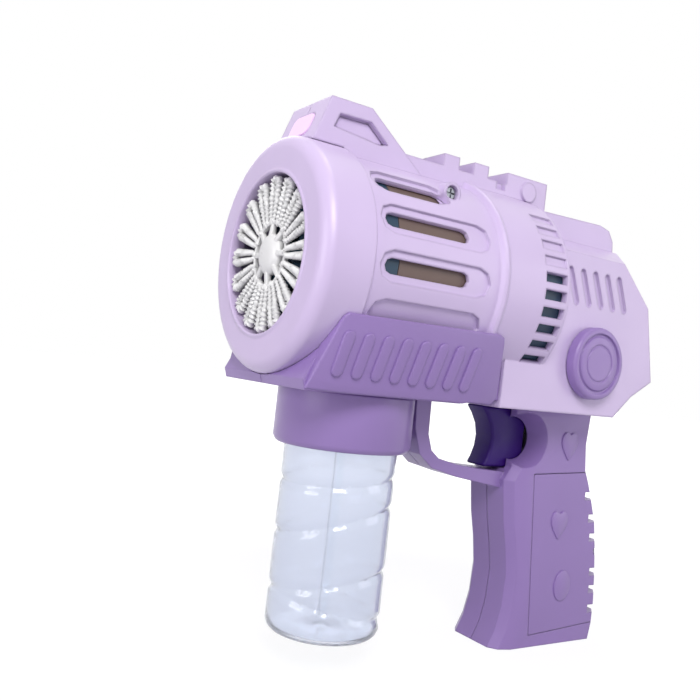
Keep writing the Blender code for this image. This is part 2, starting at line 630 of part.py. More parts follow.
def front_edge(z):
    """Front of the grip at a height: waves for the fingers."""
    spots = [(0.0, 127.5), (-26.0, 127.5), (-32.0, 123.4), (-38.0, 124.2), (-50.0, 126.0), (-62.0, 129.0),
             (-74.0, 131.0), (-88.0, 130.3), (-98.0, 127.8), (-105.5, 124.0)]
    return between(spots, z)


def rear_edge(z):
    """Rear of the grip at a height."""
    spots = [(0.0, 174.5), (-14.0, 173.2), (-26.0, 174.6), (-34.0, 178.6), (-50.0, 184.6),
             (-68.0, 188.0), (-88.0, 189.8), (-102.0, 189.6), (-105.5, 188.2)]
    return between(spots, z)


def between(spots, z):
    """Value at a height, from (millimetres from the handle's top, value) pairs."""
    for (z0, v0), (z1, v1) in zip(spots, spots[1:]):
        if z - HANDLE_TOP >= (z1 - 0.001) * MM:
            share = ((z - HANDLE_TOP) / MM - z0) / (z1 - z0)
            return (v0 + (v1 - v0) * share) * MM
    return spots[-1][1] * MM


def grip_ring(z, shrink=0.0):
    """One cross-section of the grip, with a wide front chamfer and a small rear one."""
    front = front_edge(z) + shrink
    rear = rear_edge(z) - shrink
    wide = HANDLE_HALF_WIDTH - shrink
    face = HANDLE_HALF_WIDTH - 5.5 * MM - 0.4 * shrink
    half = [(front, face), (front + 3.0 * MM, wide - 1.8 * MM), (front + 9.0 * MM, wide),
            (rear - 5.0 * MM, wide), (rear, wide - 4.5 * MM)]
    ring = [(x, -y) for x, y in half] + [(x, y) for x, y in reversed(half)]
    return [(x, y, z) for x, y in ring]


def grip_solid(shrink=0.0, top=HANDLE_TOP, base=HANDLE_BASE):
    """The grip between two heights, or its cavity when shrunk by a wall."""
    levels = [HANDLE_TOP - d * MM for d in (14, 26, 32, 38, 50, 62, 74, 88, 98)]
    inside = [z for z in levels if base + 1 * MM < z < top - 1 * MM]
    return loft([grip_ring(z, shrink) for z in [top] + inside + [base]])


def guard_outline():
    """Side outline of the trigger guard's bar."""
    root = (CRADLE_BOTTOM - SEAM - HANDLE_TOP) / MM
    outer = [(72.6, root), (73.4, -12.0), (77.2, -22.5), (84.0, -28.0), (98.0, -31.5),
             (113.0, -34.0), (128.0, -36.5)]
    inner = [(128.0, -29.0), (109.0, -27.7), (97.5, -26.2), (87.3, -23.9), (83.1, -20.7),
             (80.6, -14.0), (80.3, root)]
    return [(x * MM, HANDLE_TOP + z * MM) for x, z in outer + inner]


def door_outline(grow=0.0):
    """The battery door seen from the side: its front edge leans with the grip."""
    top = DOOR_TOP + grow
    low = DOOR_TOP - DOOR_HEIGHT - grow
    return [(136.6 * MM - grow, top), (200 * MM, top + 2.6 * MM), (200 * MM, low + 3.0 * MM),
            (143.3 * MM - grow, low - 0.6 * MM)]


def handle_halves():
    """Left and right grip shells with the trigger guard, and the battery door."""
    scoop_low, scoop_high = 9.5 * MM, 13.1 * MM
    scoop_x, scoop_z = 129.5 * MM, HANDLE_TOP - 13.7 * MM

    def shell(name):
        half = add(name, grip_solid(), finishes["purple"])
        change(half, prism(guard_outline(), -GUARD_HALF_WIDTH, GUARD_HALF_WIDTH), "UNION")
        change(half, grip_solid(WALL, DOOR_TOP - 1 * MM, HANDLE_BASE + WALL))
        gap = TRIGGER_HALF_WIDTH + RUNNING
        change(half, block(100 * MM, POCKET_END, -gap, gap, TRIGGER_LOW - RUNNING,
                           HANDLE_TOP + 2 * MM))
        change(half, block(POCKET_END - 1 * MM, POCKET_END + 19 * MM, -9 * MM, 9 * MM,
                           DOOR_TOP - 3 * MM, HANDLE_TOP + 2 * MM))
        post = disc(GRIP_SCREWS[1][0], -HANDLE_HALF_WIDTH + 1 * MM, GRIP_SCREWS[1][1], 3.6 * MM,
                    2 * HANDLE_HALF_WIDTH - 2 * MM, "Y")
        change(half, post, "UNION")
        holes = [stepped_hole(x, HANDLE_HALF_WIDTH + 1 * MM, z, 2 * SCREW_RADIUS + SEAM, 5 * MM,
                              2 * HANDLE_HALF_WIDTH - 3 * MM, "Y", -1) for x, z in GRIP_SCREWS]
        change(half, joined(*holes))
        return half

    def scoop(half, side):
        deep = side * (TRIGGER_HALF_WIDTH + RUNNING - 0.2 * MM)
        wide = side * (HANDLE_HALF_WIDTH + 0.5 * MM)
        change(half, turned([(deep, 0), (deep, scoop_low), (wide, scoop_high), (wide, 0)], "Y",
                            (scoop_x, 0, scoop_z), 32))

    left = shell("handle_left")
    scoop(left, -1)
    opening = prism(door_outline(SEAM), -HANDLE_HALF_WIDTH - 1 * MM,
                    -HANDLE_HALF_WIDTH + DOOR_THICKNESS + 3.4 * MM)
    change(left, opening)
    change(left, block(-BEYOND, BEYOND, -BEYOND, -SEAM / 2, -BEYOND, BEYOND), "INTERSECT")
    right = shell("handle_right")
    scoop(right, 1)
    change(right, block(-BEYOND, BEYOND, SEAM / 2, BEYOND, -BEYOND, BEYOND), "INTERSECT")

    door = add("battery_door", grip_solid(), finishes["purple"], (0, -HANDLE_HALF_WIDTH, 0))
    change(door, prism(door_outline(), -HANDLE_HALF_WIDTH - 1 * MM,
                       -HANDLE_HALF_WIDTH + DOOR_THICKNESS + 3.1 * MM), "INTERSECT")
    change(door, grip_solid(DOOR_THICKNESS))
    side = -HANDLE_HALF_WIDTH
    screw_x = rear_edge(DOOR_SCREW_Z) - 4.0 * MM
    bore = SCREW_RADIUS + SEAM
    change(left, disc(screw_x, side + 6.2 * MM, DOOR_SCREW_Z, 2.7 * MM, 9.6 * MM, "Y"), "UNION")
    change(left, disc(screw_x, side + 5 * MM, DOOR_SCREW_Z, bore, 9 * MM, "Y"))
    change(door, stepped_hole(screw_x, side - 1 * MM, DOOR_SCREW_Z, 2.2 * MM, 5.4 * MM, 9 * MM))
    screw("door_screw", (screw_x, side + 2.5 * MM, DOOR_SCREW_Z), 1.9 * MM, 10 * MM, "Y")


# ---------------------------------------------------------------- fasteners

def screw(name, head, head_radius, length, axis, flip=1):
    """A pan-head screw with a cross recess, from its head's outer face along an axis."""
    profile = [(0, 0), (0, head_radius - 0.4 * MM), (0.5 * MM, head_radius), (1.6 * MM, head_radius),
               (1.6 * MM, SCREW_RADIUS), (length - 1 * MM, SCREW_RADIUS), (length, 0)]
    piece = add(name, turned([(flip * a, r) for a, r in profile], axis, head, 12),
                finishes["steel"], head)
    x, y, z = head
    deep, long_side, thin = 0.9 * MM, 0.7 * head_radius, 0.35 * MM
    if axis == "Y":
        cross = [block(x - long_side, x + long_side, y - deep, y + deep, z - thin, z + thin),
                 block(x - thin, x + thin, y - 1.1 * deep, y + deep, z - long_side, z + long_side)]
    else:
        cross = [block(x - long_side, x + long_side, y - thin, y + thin, z - deep, z + deep),
                 block(x - thin, x + thin, y - long_side, y + long_side, z - deep, z + 1.1 * deep)]
    for bar in cross:
        change(piece, bar)
    return piece


def casing_screws():
    """The screws that hold the casings together."""
    screw("duct_screw", DUCT_SCREW, 2.6 * MM, 10 * MM, "Y")
    wide = HOUSING_HALF_WIDTH - 6.4 * MM
    screw("housing_screw", (CAP_X, -wide, CAP_Z), 2 * SCREW_RADIUS, 2 * wide - 6 * MM, "Y")
    for name, (x, z) in zip(("grip_screw_upper", "grip_screw_lower"), GRIP_SCREWS):
        head = (x, HANDLE_HALF_WIDTH - 2 * MM, z)
        screw(name, head, 2 * SCREW_RADIUS, 24 * MM, "Y", -1)
    for name, side in (("cradle_screw_left", -1), ("cradle_screw_right", 1)):
        head = (CRADLE_SCREW_X, side * CRADLE_SCREW_Y, CRADLE_BOTTOM + 2.5 * MM)
        screw(name, head, 2 * SCREW_RADIUS, 8 * MM, "Z")


# ---------------------------------------------------------------- drive

def gear_shape(teeth, x, y, z, tooth_at):
    """A spur gear with straight-flanked teeth, one of them at an angle about X."""
    pitch = 2 * pi / teeth
    root = GEAR_MODULE * (teeth / 2 - 1.25)
    tip = GEAR_MODULE * (teeth / 2 + 0.8)
    outline = []
    for k in range(teeth):
        middle = tooth_at + pitch * k
        for radius, share in ((root, -0.27), (tip, -0.1), (tip, 0.1), (root, 0.27)):
            angle = middle + share * pitch
            outline.append((y + radius * cos(angle), z + radius * sin(angle)))
    return prism(outline, x, x + GEAR_WIDTH, "X")


def bubble_wheel():
    """The white wheel whose sixteen loops pick up the film of bubble liquid."""
    centre = (WHEEL_FRONT, 0, 0)
    back = WHEEL_FRONT + WHEEL_THICKNESS
    hub = [(-0.6 * MM, 0), (-0.6 * MM, 4.5 * MM), (0.4 * MM, 6.5 * MM), (0.4 * MM, WHEEL_RADIUS - 0.8 * MM),
           (1.0 * MM, WHEEL_RADIUS), (WHEEL_THICKNESS, WHEEL_RADIUS), (WHEEL_THICKNESS, 5 * MM),
           (WHEEL_THICKNESS + 6 * MM, 4 * MM), (WHEEL_THICKNESS + 6 * MM, 0)]
    wheel = add("bubble_wheel", turned(hub, "X", centre, 28, radians(1)), finishes["white"], centre)
    pitch = 2 * pi / WHEEL_LOOPS
    loops, gaps = [], []
    for k in range(WHEEL_LOOPS):
        inner, outer = 12.0 * MM, WHEEL_RADIUS - 1.4 * MM
        near = inner * tan(pitch / 2) - 1.2 * MM
        far = outer * tan(pitch / 2) - 1.7 * MM
        outline = [(inner, -near), (outer - far, -far), (outer, 0), (outer - far, far), (inner, near)]
        loops.append(rotated(prism(outline, -1 * MM, back + 1 * MM, "X"), pitch * k))
        edge = WHEEL_RADIUS + 1 * MM
        root = 14.5 * MM
        slot = [(root, 0), (edge - 5 * MM, -0.45 * MM), (edge, -2.6 * MM), (edge, 2.6 * MM),
                (edge - 5 * MM, 0.45 * MM)]
        gaps.append(rotated(prism(slot, -1 * MM, back + 1 * MM, "X"), pitch * (k + 0.5)))
    change(wheel, joined(*loops))
    change(wheel, joined(*gaps))
    bore = SHAFT_RADIUS + SEAM
    change(wheel, disc(WHEEL_FRONT + 1.4 * MM, 0, 0, bore, 12 * MM))


def wheel_drive():
    """Shaft, bush and gear of the bubble wheel, and the idler that drives them."""
    start = WHEEL_FRONT + 1.4 * MM + SEAM
    end = GEAR_X + GEAR_WIDTH + 0.2 * MM
    add("wheel_shaft", disc(start, 0, 0, SHAFT_RADIUS, end - start, "X", 16), finishes["steel"],
        (start, 0, 0))
    bore = SHAFT_RADIUS + SEAM
    bush = [(0, bore), (0, 4.6 * MM), (1 * MM, 4.6 * MM), (1 * MM, BUSH_RADIUS),
            (4 * MM, BUSH_RADIUS), (4 * MM, bore)]
    add("wheel_bush", turned(bush, "X", (BULKHEAD_X - 1.3 * MM, 0, 0), 14), finishes["brass"])
    gear = add("wheel_gear", gear_shape(WHEEL_GEAR_TEETH, GEAR_X, 0, 0, pi / 2), finishes["nylon"],
               (GEAR_X, 0, 0))
    change(gear, disc(GEAR_X - 1 * MM, 0, 0, bore, GEAR_WIDTH + 2 * MM, "X", 16))
    small = gear_shape(IDLER_PINION_TEETH, GEAR_X, 0, IDLER_DISTANCE,
                       -pi / 2 + pi / IDLER_PINION_TEETH)
    idler = add("idler_gear", gear_shape(IDLER_TEETH, IDLER_X, 0, IDLER_DISTANCE,
                                         -pi / 2 + pi / IDLER_TEETH),
                finishes["nylon"], (IDLER_X, 0, IDLER_DISTANCE))
    change(idler, small, "UNION")
    sleeve = disc(GEAR_X + GEAR_WIDTH - 0.5 * MM, 0, IDLER_DISTANCE, 3.2 * MM, 1.5 * MM, "X", 16)
    change(idler, sleeve, "UNION")
    change(idler, disc(GEAR_X - 1 * MM, 0, IDLER_DISTANCE, bore, 12 * MM, "X", 16))
    pin = disc(BULKHEAD_X + 0.6 * MM, 0, IDLER_DISTANCE, SHAFT_RADIUS,
               PLATE_X + 1.6 * MM - BULKHEAD_X, "X", 16)
    add("idler_pin", pin, finishes["steel"])


def window_holes(x, thickness):
    """Six round air windows in a round plate."""
    holes = []
    for middle in (0, pi):
        for swing in (-38, 0, 38):
            angle = middle + radians(swing)
            holes.append(disc(x - 1 * MM, 24 * MM * cos(angle), 24 * MM * sin(angle), 7 * MM,
                              thickness + 2 * MM, "X", 8))
    return joined(*holes)


def plates():
    """The bulkhead behind the wheel, the air duct and the motor's plate."""
    skirt = BULKHEAD_X + BULKHEAD_SKIRT
    inner = DUCT_RADIUS - DUCT_WALL
    face = BULKHEAD_X + PLATE_THICKNESS
    profile = [(BULKHEAD_X, BUSH_RADIUS + SEAM), (BULKHEAD_X, DUCT_RADIUS), (skirt, DUCT_RADIUS),
               (skirt, inner), (face, inner), (face, BUSH_RADIUS + SEAM)]
    bulkhead = add("wheel_bulkhead", turned(profile, steps=28), finishes["teal"])
    change(bulkhead, window_holes(BULKHEAD_X, PLATE_THICKNESS))
    bore = SHAFT_RADIUS + SEAM
    small = [disc(BULKHEAD_X - 1 * MM, 0, z, bore, 5 * MM, "X", 12) for z in (IDLER_DISTANCE, PUMP_Z)]
    feed = disc(BULKHEAD_X - 1 * MM, FEED_Y, FEED_Z, TUBE_RADIUS + SEAM, 5 * MM, "X", 12)
    change(bulkhead, joined(*small, feed))
    duct = [(skirt + SEAM, DUCT_RADIUS), (DUCT_END, DUCT_RADIUS), (DUCT_END, inner),
            (skirt + SEAM, inner)]
    sleeve = add("air_duct", turned(duct, steps=28), finishes["brown"])
    change(sleeve, disc(BOTTLE_X, 2.6 * MM, -DUCT_RADIUS - 1 * MM, 4.4 * MM, 7 * MM, "Z", 16))
    x, y, z = DUCT_SCREW
    change(sleeve, disc(x, y, z, bore, 14 * MM, "Y", 12))
    rim = inner - SEAM
    profile = [(PLATE_X, 3.4 * MM), (PLATE_X, rim), (PLATE_X + PLATE_THICKNESS, rim),
               (PLATE_X + PLATE_THICKNESS, 3.4 * MM)]
    plate = add("motor_plate", turned(profile, steps=28), finishes["grey"])
    change(plate, window_holes(PLATE_X, PLATE_THICKNESS))
    small = [disc(PLATE_X - 1 * MM, 0, z, bore, 5 * MM, "X", 12) for z in (IDLER_DISTANCE, PUMP_Z)]
    feed = disc(PLATE_X - 1 * MM, FEED_Y + 0.6 * MM, FEED_Z - 0.6 * MM, TUBE_RADIUS + 1.0 * MM, 5 * MM,
                "X", 12)
    change(plate, joined(*small, feed))


def motor_and_fan():
    """The two-flat motor, its shaft through both ends, the pinion and the fan."""
    bore = MOTOR_SHAFT_RADIUS + SEAM
    profile = [(-1.5 * MM, bore), (-1.5 * MM, 3.1 * MM), (0, 3.1 * MM), (0, MOTOR_RADIUS),
               (MOTOR_LENGTH - 2 * MM, MOTOR_RADIUS), (MOTOR_LENGTH - 2 * MM, MOTOR_RADIUS - 1.5 * MM),
               (MOTOR_LENGTH, MOTOR_RADIUS - 1.5 * MM), (MOTOR_LENGTH, 3 * MM),
               (MOTOR_LENGTH + 1.5 * MM, 3 * MM), (MOTOR_LENGTH + 1.5 * MM, bore)]
    motor = add("motor", turned(profile, "X", (MOTOR_X, 0, 0), 24), finishes["steel"])
    flat = 0.77 * MOTOR_RADIUS
    change(motor, block(MOTOR_X - 5 * MM, MOTOR_END + 5 * MM, -flat, flat, -0.02, 0.02), "INTERSECT")
    start = IDLER_X - 0.2 * MM
    end = FAN_X + FAN_LENGTH - 1.5 * MM
    add("motor_shaft", disc(start, 0, 0, MOTOR_SHAFT_RADIUS, end - start, "X", 12), finishes["steel"],
        (start, 0, 0))
    pinion = add("motor_pinion", gear_shape(PINION_TEETH, IDLER_X, 0, 0, pi / 2), finishes["brass"],
                 (IDLER_X, 0, 0))
    change(pinion, disc(IDLER_X - 1 * MM, 0, 0, bore, 7 * MM, "X", 12))
    hub = [(0, 0), (0, 6 * MM), (1 * MM, 7 * MM), (FAN_LENGTH, 7 * MM), (FAN_LENGTH, 0)]
    fan = add("fan", turned(hub, "X", (FAN_X, 0, 0), 20), finishes["grey"], (FAN_X, 0, 0))
    blades = []
    middle = FAN_X + FAN_LENGTH / 2
    for k in range(FAN_BLADES):
        blade = block(middle - 0.7 * MM, middle + 0.7 * MM, -5.5 * MM, 5.5 * MM, 5 * MM, FAN_RADIUS)
        rotated(blade, radians(52), "Z", (middle, 0, 0))
        blades.append(rotated(blade, 2 * pi * k / FAN_BLADES))
    change(fan, joined(*blades), "UNION")
    change(fan, disc(FAN_X - 1 * MM, 0, 0, bore, FAN_LENGTH - 0.2 * MM, "X", 12))


def pump():
    """The tube pump: a lobed rotor that rolls on a soft tube in a U-shaped housing."""
    front = PLATE_X + PLATE_THICKNESS + SEAM
    centre = (0, 0, PUMP_Z)
    bore = SHAFT_RADIUS + SEAM
    floor = front + 1.2 * MM
    back = floor + 6.6 * MM
    inner = PUMP_RADIUS - 1.2 * MM
    profile = [(front, bore), (front, PUMP_RADIUS), (back, PUMP_RADIUS), (back, inner),
               (floor, inner), (floor, bore)]
    housing = add("pump_housing", turned(profile, "X", centre, 20), finishes["grey"])
    change(housing, block(front - 1 * MM, back + 1 * MM, -PUMP_RADIUS - 1.3 * MM,
                          PUMP_RADIUS - 1.6 * MM, PUMP_Z - 15 * MM, PUMP_Z - 2.6 * MM))
    cover = [(back + SEAM, bore), (back + SEAM, PUMP_RADIUS), (back + 1.5 * MM, PUMP_RADIUS),
             (back + 1.5 * MM, bore)]
    add("pump_cover", turned(cover, "X", centre, 20), finishes["grey"])
    gear = add("pump_gear", gear_shape(PUMP_GEAR_TEETH, GEAR_X, 0, PUMP_Z, pi / 2 + pi / PUMP_GEAR_TEETH),
               finishes["nylon"], (GEAR_X, 0, PUMP_Z))
    start = BULKHEAD_X + 0.6 * MM
    shaft = disc(start, 0, PUMP_Z, SHAFT_RADIUS, back + 1.2 * MM - start, "X", 16)
    change(gear, shaft, "UNION")
    loop = PUMP_LOOP_RADIUS - TUBE_RADIUS - SEAM
    swell = 0.9 / 5.1 * loop
    lobes = [((loop - swell + swell * cos(3 * a)) * cos(a),
              PUMP_Z + (loop - swell + swell * cos(3 * a)) * sin(a))
             for a in (2 * pi * k / 24 for k in range(24))]
    wide = 1.8 * MM
    rotor = add("pump_rotor", prism(lobes, BOTTLE_X - wide, BOTTLE_X + wide, "X"), finishes["nylon"],
                (BOTTLE_X, 0, PUMP_Z))
    change(rotor, disc(BOTTLE_X - 4 * MM, 0, PUMP_Z, bore, 8 * MM, "X", 12))


def tubes_and_leads():
    """The pump's tube, the dip tube and the leads, each along its own smooth route."""
    x = BOTTLE_X
    loop = [(x, PUMP_LOOP_RADIUS * cos(a), PUMP_Z + PUMP_LOOP_RADIUS * sin(a))
            for a in (radians(d) for d in range(-15, 196, 30))]
    low = CRADLE_BOTTOM
    rise = [(x, 0, low + 0.3 * MM), (x, 0.4 * MM, low + 4 * MM), (x, 2.4 * MM, low + 8.2 * MM),
            (x, 5.4 * MM, low + 12.2 * MM), (x, PUMP_LOOP_RADIUS, PUMP_Z - 7.3 * MM)]
    side = -PUMP_LOOP_RADIUS
    feed = [(x - 0.4 * MM, side - 1 * MM, PUMP_Z - 5.7 * MM),
            (x - 2.4 * MM, side - 3 * MM, PUMP_Z - 7.7 * MM),
            (PLATE_X + 1.2 * MM, FEED_Y + 0.6 * MM, FEED_Z - 0.6 * MM),
            (GEAR_X + 3 * MM, FEED_Y - 0.2 * MM, FEED_Z), (BULKHEAD_X + 1 * MM, FEED_Y, FEED_Z),
            (BULKHEAD_X - 2.6 * MM, FEED_Y, FEED_Z)]
    tube("pump_tube", rise + loop + feed, TUBE_RADIUS, finishes["silicone"])
    low = BOTTLE_BOTTOM + BOTTLE_WALL + 3 * MM
    dip = [(x, 0, CRADLE_BOTTOM), (x, 0, NECK_TOP - 27.5 * MM), (x, 0, NECK_TOP - 57.5 * MM),
           (x, 0, low)]
    tube("dip_tube", dip, TUBE_RADIUS, finishes["silicone"], 12 * MM)
    board = HOUSING_BOTTOM + WALL + SEAM + 1.6 * MM
    motor = [(MOTOR_END + 1.2 * MM, 0, -6.0 * MM), (MOTOR_END + 2.2 * MM, 0, -12 * MM),
             (MOTOR_END + 2.6 * MM, 0, 13 * MM - BARREL_BORE),
             (MOTOR_END + 6 * MM, 0, 5.4 * MM - BARREL_BORE), (DUCT_END, 0, 4.2 * MM - BARREL_BORE),
             (98 * MM, 0, 2.7 * MM - BAND_BORE), (116 * MM, 0, HOUSING_BOTTOM + 6.1 * MM),
             (122 * MM, 0, board + LEAD_RADIUS + SEAM)]
    tube("motor_leads", motor, LEAD_RADIUS, finishes["lead"], 6 * MM)
    lamp = [(LAMP_BOARD_X + 1.7 * MM, 0, SIGHT_TOP - 8.7 * MM), (27 * MM, 0, SIGHT_TOP - 11.2 * MM),
            (34 * MM, 0, LEAD_CHANNEL_Z),
            (60 * MM, 0, LEAD_CHANNEL_Z), (90 * MM, 0, LEAD_CHANNEL_Z),
            (LEAD_DROP_X - 3 * MM, 0, LEAD_CHANNEL_Z), (LEAD_DROP_X, 0, LEAD_CHANNEL_Z - 3 * MM),
            (LEAD_DROP_X, 0, 10 * MM), (LEAD_DROP_X + 6 * MM, 0, -25 * MM),
            (LEAD_DROP_X + 9 * MM, 0, board + LEAD_RADIUS + SEAM)]
    tube("lamp_leads", lamp, LEAD_RADIUS, finishes["lead"], 12 * MM)
    top = HANDLE_TOP
    battery = [(BOX_X - 2 * MM, 2 * MM, BOX_Z + 31 * MM), (BOX_X + 3 * MM, 4 * MM, top - 28 * MM),
               (BOX_X + 6 * MM, 4 * MM, top - 14 * MM), (BOX_X + 2 * MM, 4 * MM, top),
               (BOX_X - 2 * MM, 4 * MM, top + 7 * MM), (BOX_X - 9 * MM, 3 * MM, board + LEAD_RADIUS + SEAM)]
    tube("battery_leads", battery, LEAD_RADIUS, finishes["lead"], 6 * MM)


def tray_and_wiper():
    """The crescent tray under the wheel and the wiper that wets its loops."""
    front = WHEEL_FRONT + WHEEL_THICKNESS + 1.2 * MM
    rear = BULKHEAD_X - SEAM
    low, lip, wall = DUCT_RADIUS, MOUTH_RADIUS + 1.2 * MM, 1.2 * MM
    profile = [(front, lip), (front, low), (rear, low), (rear, lip), (rear - wall, lip),
               (rear - wall, low - wall), (front + wall, low - wall), (front + wall, lip)]
    tray = turned(profile, "X", (0, 0, 0), 20, radians(-150), radians(120))
    tray = add("liquid_tray", tray, finishes["white"])
    change(tray, disc(rear - 4 * MM, FEED_Y, FEED_Z, TUBE_RADIUS + SEAM, 6 * MM, "X", 12))
    top, foot = -13 * MM, -lip + SEAM
    back = front + 0.8 * MM
    start = WHEEL_FRONT + WHEEL_THICKNESS + RUNNING
    outline = [(start, top), (start, foot), (front + 3 * MM, foot), (front + 3 * MM, foot + 2 * MM),
               (back, foot + 3 * MM), (back, top)]
    add("wiper", prism(outline, -2 * MM, 2 * MM), finishes["rubber"])


def lamp():
    """Lens, lamp and board in the sight."""
    half_w, half_h = LAMP_WIDTH / 2 - SEAM, LAMP_HEIGHT / 2 - SEAM
    middle = SIGHT_TOP - 5 * MM - LAMP_HEIGHT / 2
    frame = round_outline([(-half_w, middle - half_h), (half_w, middle - half_h),
                           (half_w, middle + half_h), (-half_w, middle + half_h)], [2.7 * MM] * 4)
    lens = add("lamp_lens", prism(frame, 2 * MM, SIGHT_FRONT + 14 * MM, "X"), finishes["clear"])
    outline = sight_outline()
    low, high = outline[0], outline[1]
    slab = [(low[0] - 0.5 * MM, low[1]), (high[0] - 0.5 * MM, high[1]),
            (high[0] + 2 * MM, high[1]), (low[0] + 2 * MM, low[1])]
    change(lens, prism(slab, -LAMP_WIDTH, LAMP_WIDTH), "INTERSECT")
    profile = [(0, 0), (1.2 * MM, 1.8 * MM), (2.6 * MM, 2.5 * MM), (5.6 * MM, 2.5 * MM),
               (5.6 * MM, 2.9 * MM), (6.6 * MM, 2.9 * MM), (6.6 * MM, 0)]
    start = LAMP_BOARD_X - SEAM - 6.6 * MM
    add("lamp", turned(profile, "X", (start, 0, middle), 20), finishes["clear"])
    wide = SIGHT_HALF_WIDTH - WALL - SEAM
    board = block(LAMP_BOARD_X, LAMP_BOARD_X + 1.4 * MM, -wide, wide, middle - 2.4 * MM, middle + 4.5 * MM)
    add("lamp_board", board, finishes["board"])


# ---------------------------------------------------------------- trigger and battery

def trigger_set():
    """The sliding trigger, its return spring, the switch and the plate that holds them."""
    top = HANDLE_TOP - RUNNING
    front = [(114.6, -4.4), (117.4, -9.0), (118.6, -14.0), (118.2, -19.0), (116.6, -23.5)]
    outline = [(111.2 * MM, top)] + [(x * MM, HANDLE_TOP + z * MM) for x, z in front]
    outline.append((114.6 * MM, TRIGGER_LOW))
    outline += [(TRIGGER_REAR, TRIGGER_LOW), (TRIGGER_REAR, top)]
    trigger = add("trigger", prism(outline, -TRIGGER_HALF_WIDTH, TRIGGER_HALF_WIDTH),
                  finishes["dark_purple"], (TRIGGER_REAR, 0, SPRING_Z), 50)
    edge = trigger.modifiers.new("Edges", "BEVEL")
    edge.width = 0.9 * MM
    edge.segments = 1
    edge.limit_method = "ANGLE"
    edge.angle_limit = radians(60)
    spring_start, spring_end = TRIGGER_REAR + SEAM, POCKET_END
    thick = 0.6 * MM
    ring = [(spring_start, SPRING_RADIUS - thick), (spring_start, SPRING_RADIUS),
            (spring_end, SPRING_RADIUS), (spring_end, SPRING_RADIUS - thick)]
    add("trigger_spring", turned(ring, "X", (0, 0, SPRING_Z), 14), finishes["steel"])
    plate_x = POCKET_END + SEAM
    plate = add("switch_plate", block(plate_x, plate_x + 2 * MM, -9 * MM + SEAM, 9 * MM - SEAM,
                                      DOOR_TOP, HANDLE_TOP - SEAM), finishes["grey"])
    change(plate, block(plate_x - 1 * MM, plate_x + 3 * MM, -1.6 * MM, 1.6 * MM, SWITCH_Z - 1.6 * MM,
                        SWITCH_Z + 1.6 * MM))
    body = plate_x + 2 * MM + SEAM
    switch = add("microswitch", block(body, body + 6.4 * MM, -2.9 * MM, 2.9 * MM, SWITCH_Z - 6 * MM,
                                      SWITCH_Z + 6 * MM), finishes["black"])
    change(switch, block(TRIGGER_REAR + TRIGGER_TRAVEL + SEAM, body + 1 * MM, -1.2 * MM, 1.2 * MM,
                         SWITCH_Z - 1.2 * MM, SWITCH_Z + 1.2 * MM), "UNION")
    board_z = HOUSING_BOTTOM + WALL + SEAM
    board = block(116 * MM, 146 * MM, -14 * MM, 14 * MM, board_z, board_z + 1.6 * MM)
    add("circuit_board", board, finishes["board"])


def battery_set():
    """Three cells side by side in a leaning box, joined in series by four contacts."""
    pitch = 2 * CELL_RADIUS + 0.4 * MM
    wide, wall = 1.5 * pitch + 0.1 * MM, 1.0 * MM
    tall = CELL_LENGTH / 2 + 3.2 * MM
    spot = (BOX_X, 0, BOX_Z)
    middle_y = -1.9 * MM
    front_y, back_y = middle_y - CELL_RADIUS - 0.4 * MM, middle_y + CELL_RADIUS + SEAM

    def leaned(shape):
        bmesh.ops.translate(shape, vec=spot, verts=shape.verts)
        return rotated(shape, -CELL_LEAN, "Y", spot)

    box = add("battery_box", leaned(block(-wide - wall, wide + wall, front_y, back_y + wall,
                                          -tall - wall, tall + wall)), finishes["grey"])
    change(box, leaned(block(-wide, wide, front_y - 1 * MM, back_y, -tall, tall)))
    ribs = [block(side - 1 * MM, side + 1 * MM, back_y + 0.5 * MM,
                  HANDLE_HALF_WIDTH - WALL - SEAM, -20 * MM, 20 * MM) for side in (-9 * MM, 9 * MM)]
    for rib in ribs:
        change(box, leaned(rib), "UNION")
    nub = 1.0 * MM
    for k, up in ((0, 1), (1, -1), (2, 1)):
        low, high = -CELL_LENGTH / 2, CELL_LENGTH / 2
        profile = [(low, 0), (low, CELL_RADIUS - 0.6 * MM), (low + 0.6 * MM, CELL_RADIUS),
                   (high - nub - 0.6 * MM, CELL_RADIUS), (high - nub, CELL_RADIUS - 0.6 * MM),
                   (high - nub, 2.7 * MM), (high, 2.7 * MM), (high, 0)]
        cell = turned([(up * a, r) for a, r in profile], "Z", ((k - 1) * pitch, middle_y, 0), 16)
        add(f"battery_cell_{k + 1}", leaned(cell), finishes["cell"])
    contact_sets = (("contact_top_single", 1, (0,), ()), ("contact_top_double", 1, (1, 2), (1,)),
                    ("contact_low_double", -1, (0, 1), (0,)), ("contact_low_single", -1, (2,), (2,)))
    for name, end, cells, coils in contact_sets:
        near = (cells[0] - 1) * pitch - 5 * MM
        far = (cells[-1] - 1) * pitch + 5 * MM
        face = end * (tall - SEAM)
        strip = add(name, leaned(block(near, far, middle_y - 5 * MM, middle_y + 5 * MM,
                                       min(face, face - end * 0.5 * MM),
                                       max(face, face - end * 0.5 * MM))), finishes["brass"])
        reach = tall - SEAM - CELL_LENGTH / 2 - SEAM
        for k in cells:
            wide_end, tip = (3.4 * MM, 2.2 * MM) if k in coils else (2.4 * MM, 2.0 * MM)
            sunk = 0.2 * MM
            cone = [(sunk, 0), (sunk, wide_end), (reach, tip), (reach, 0)]
            start = ((k - 1) * pitch, middle_y, face)
            coil = turned([(-end * a, r) for a, r in cone], "Z", start, 8)
            change(strip, leaned(coil), "UNION")


# ---------------------------------------------------------------- bottle

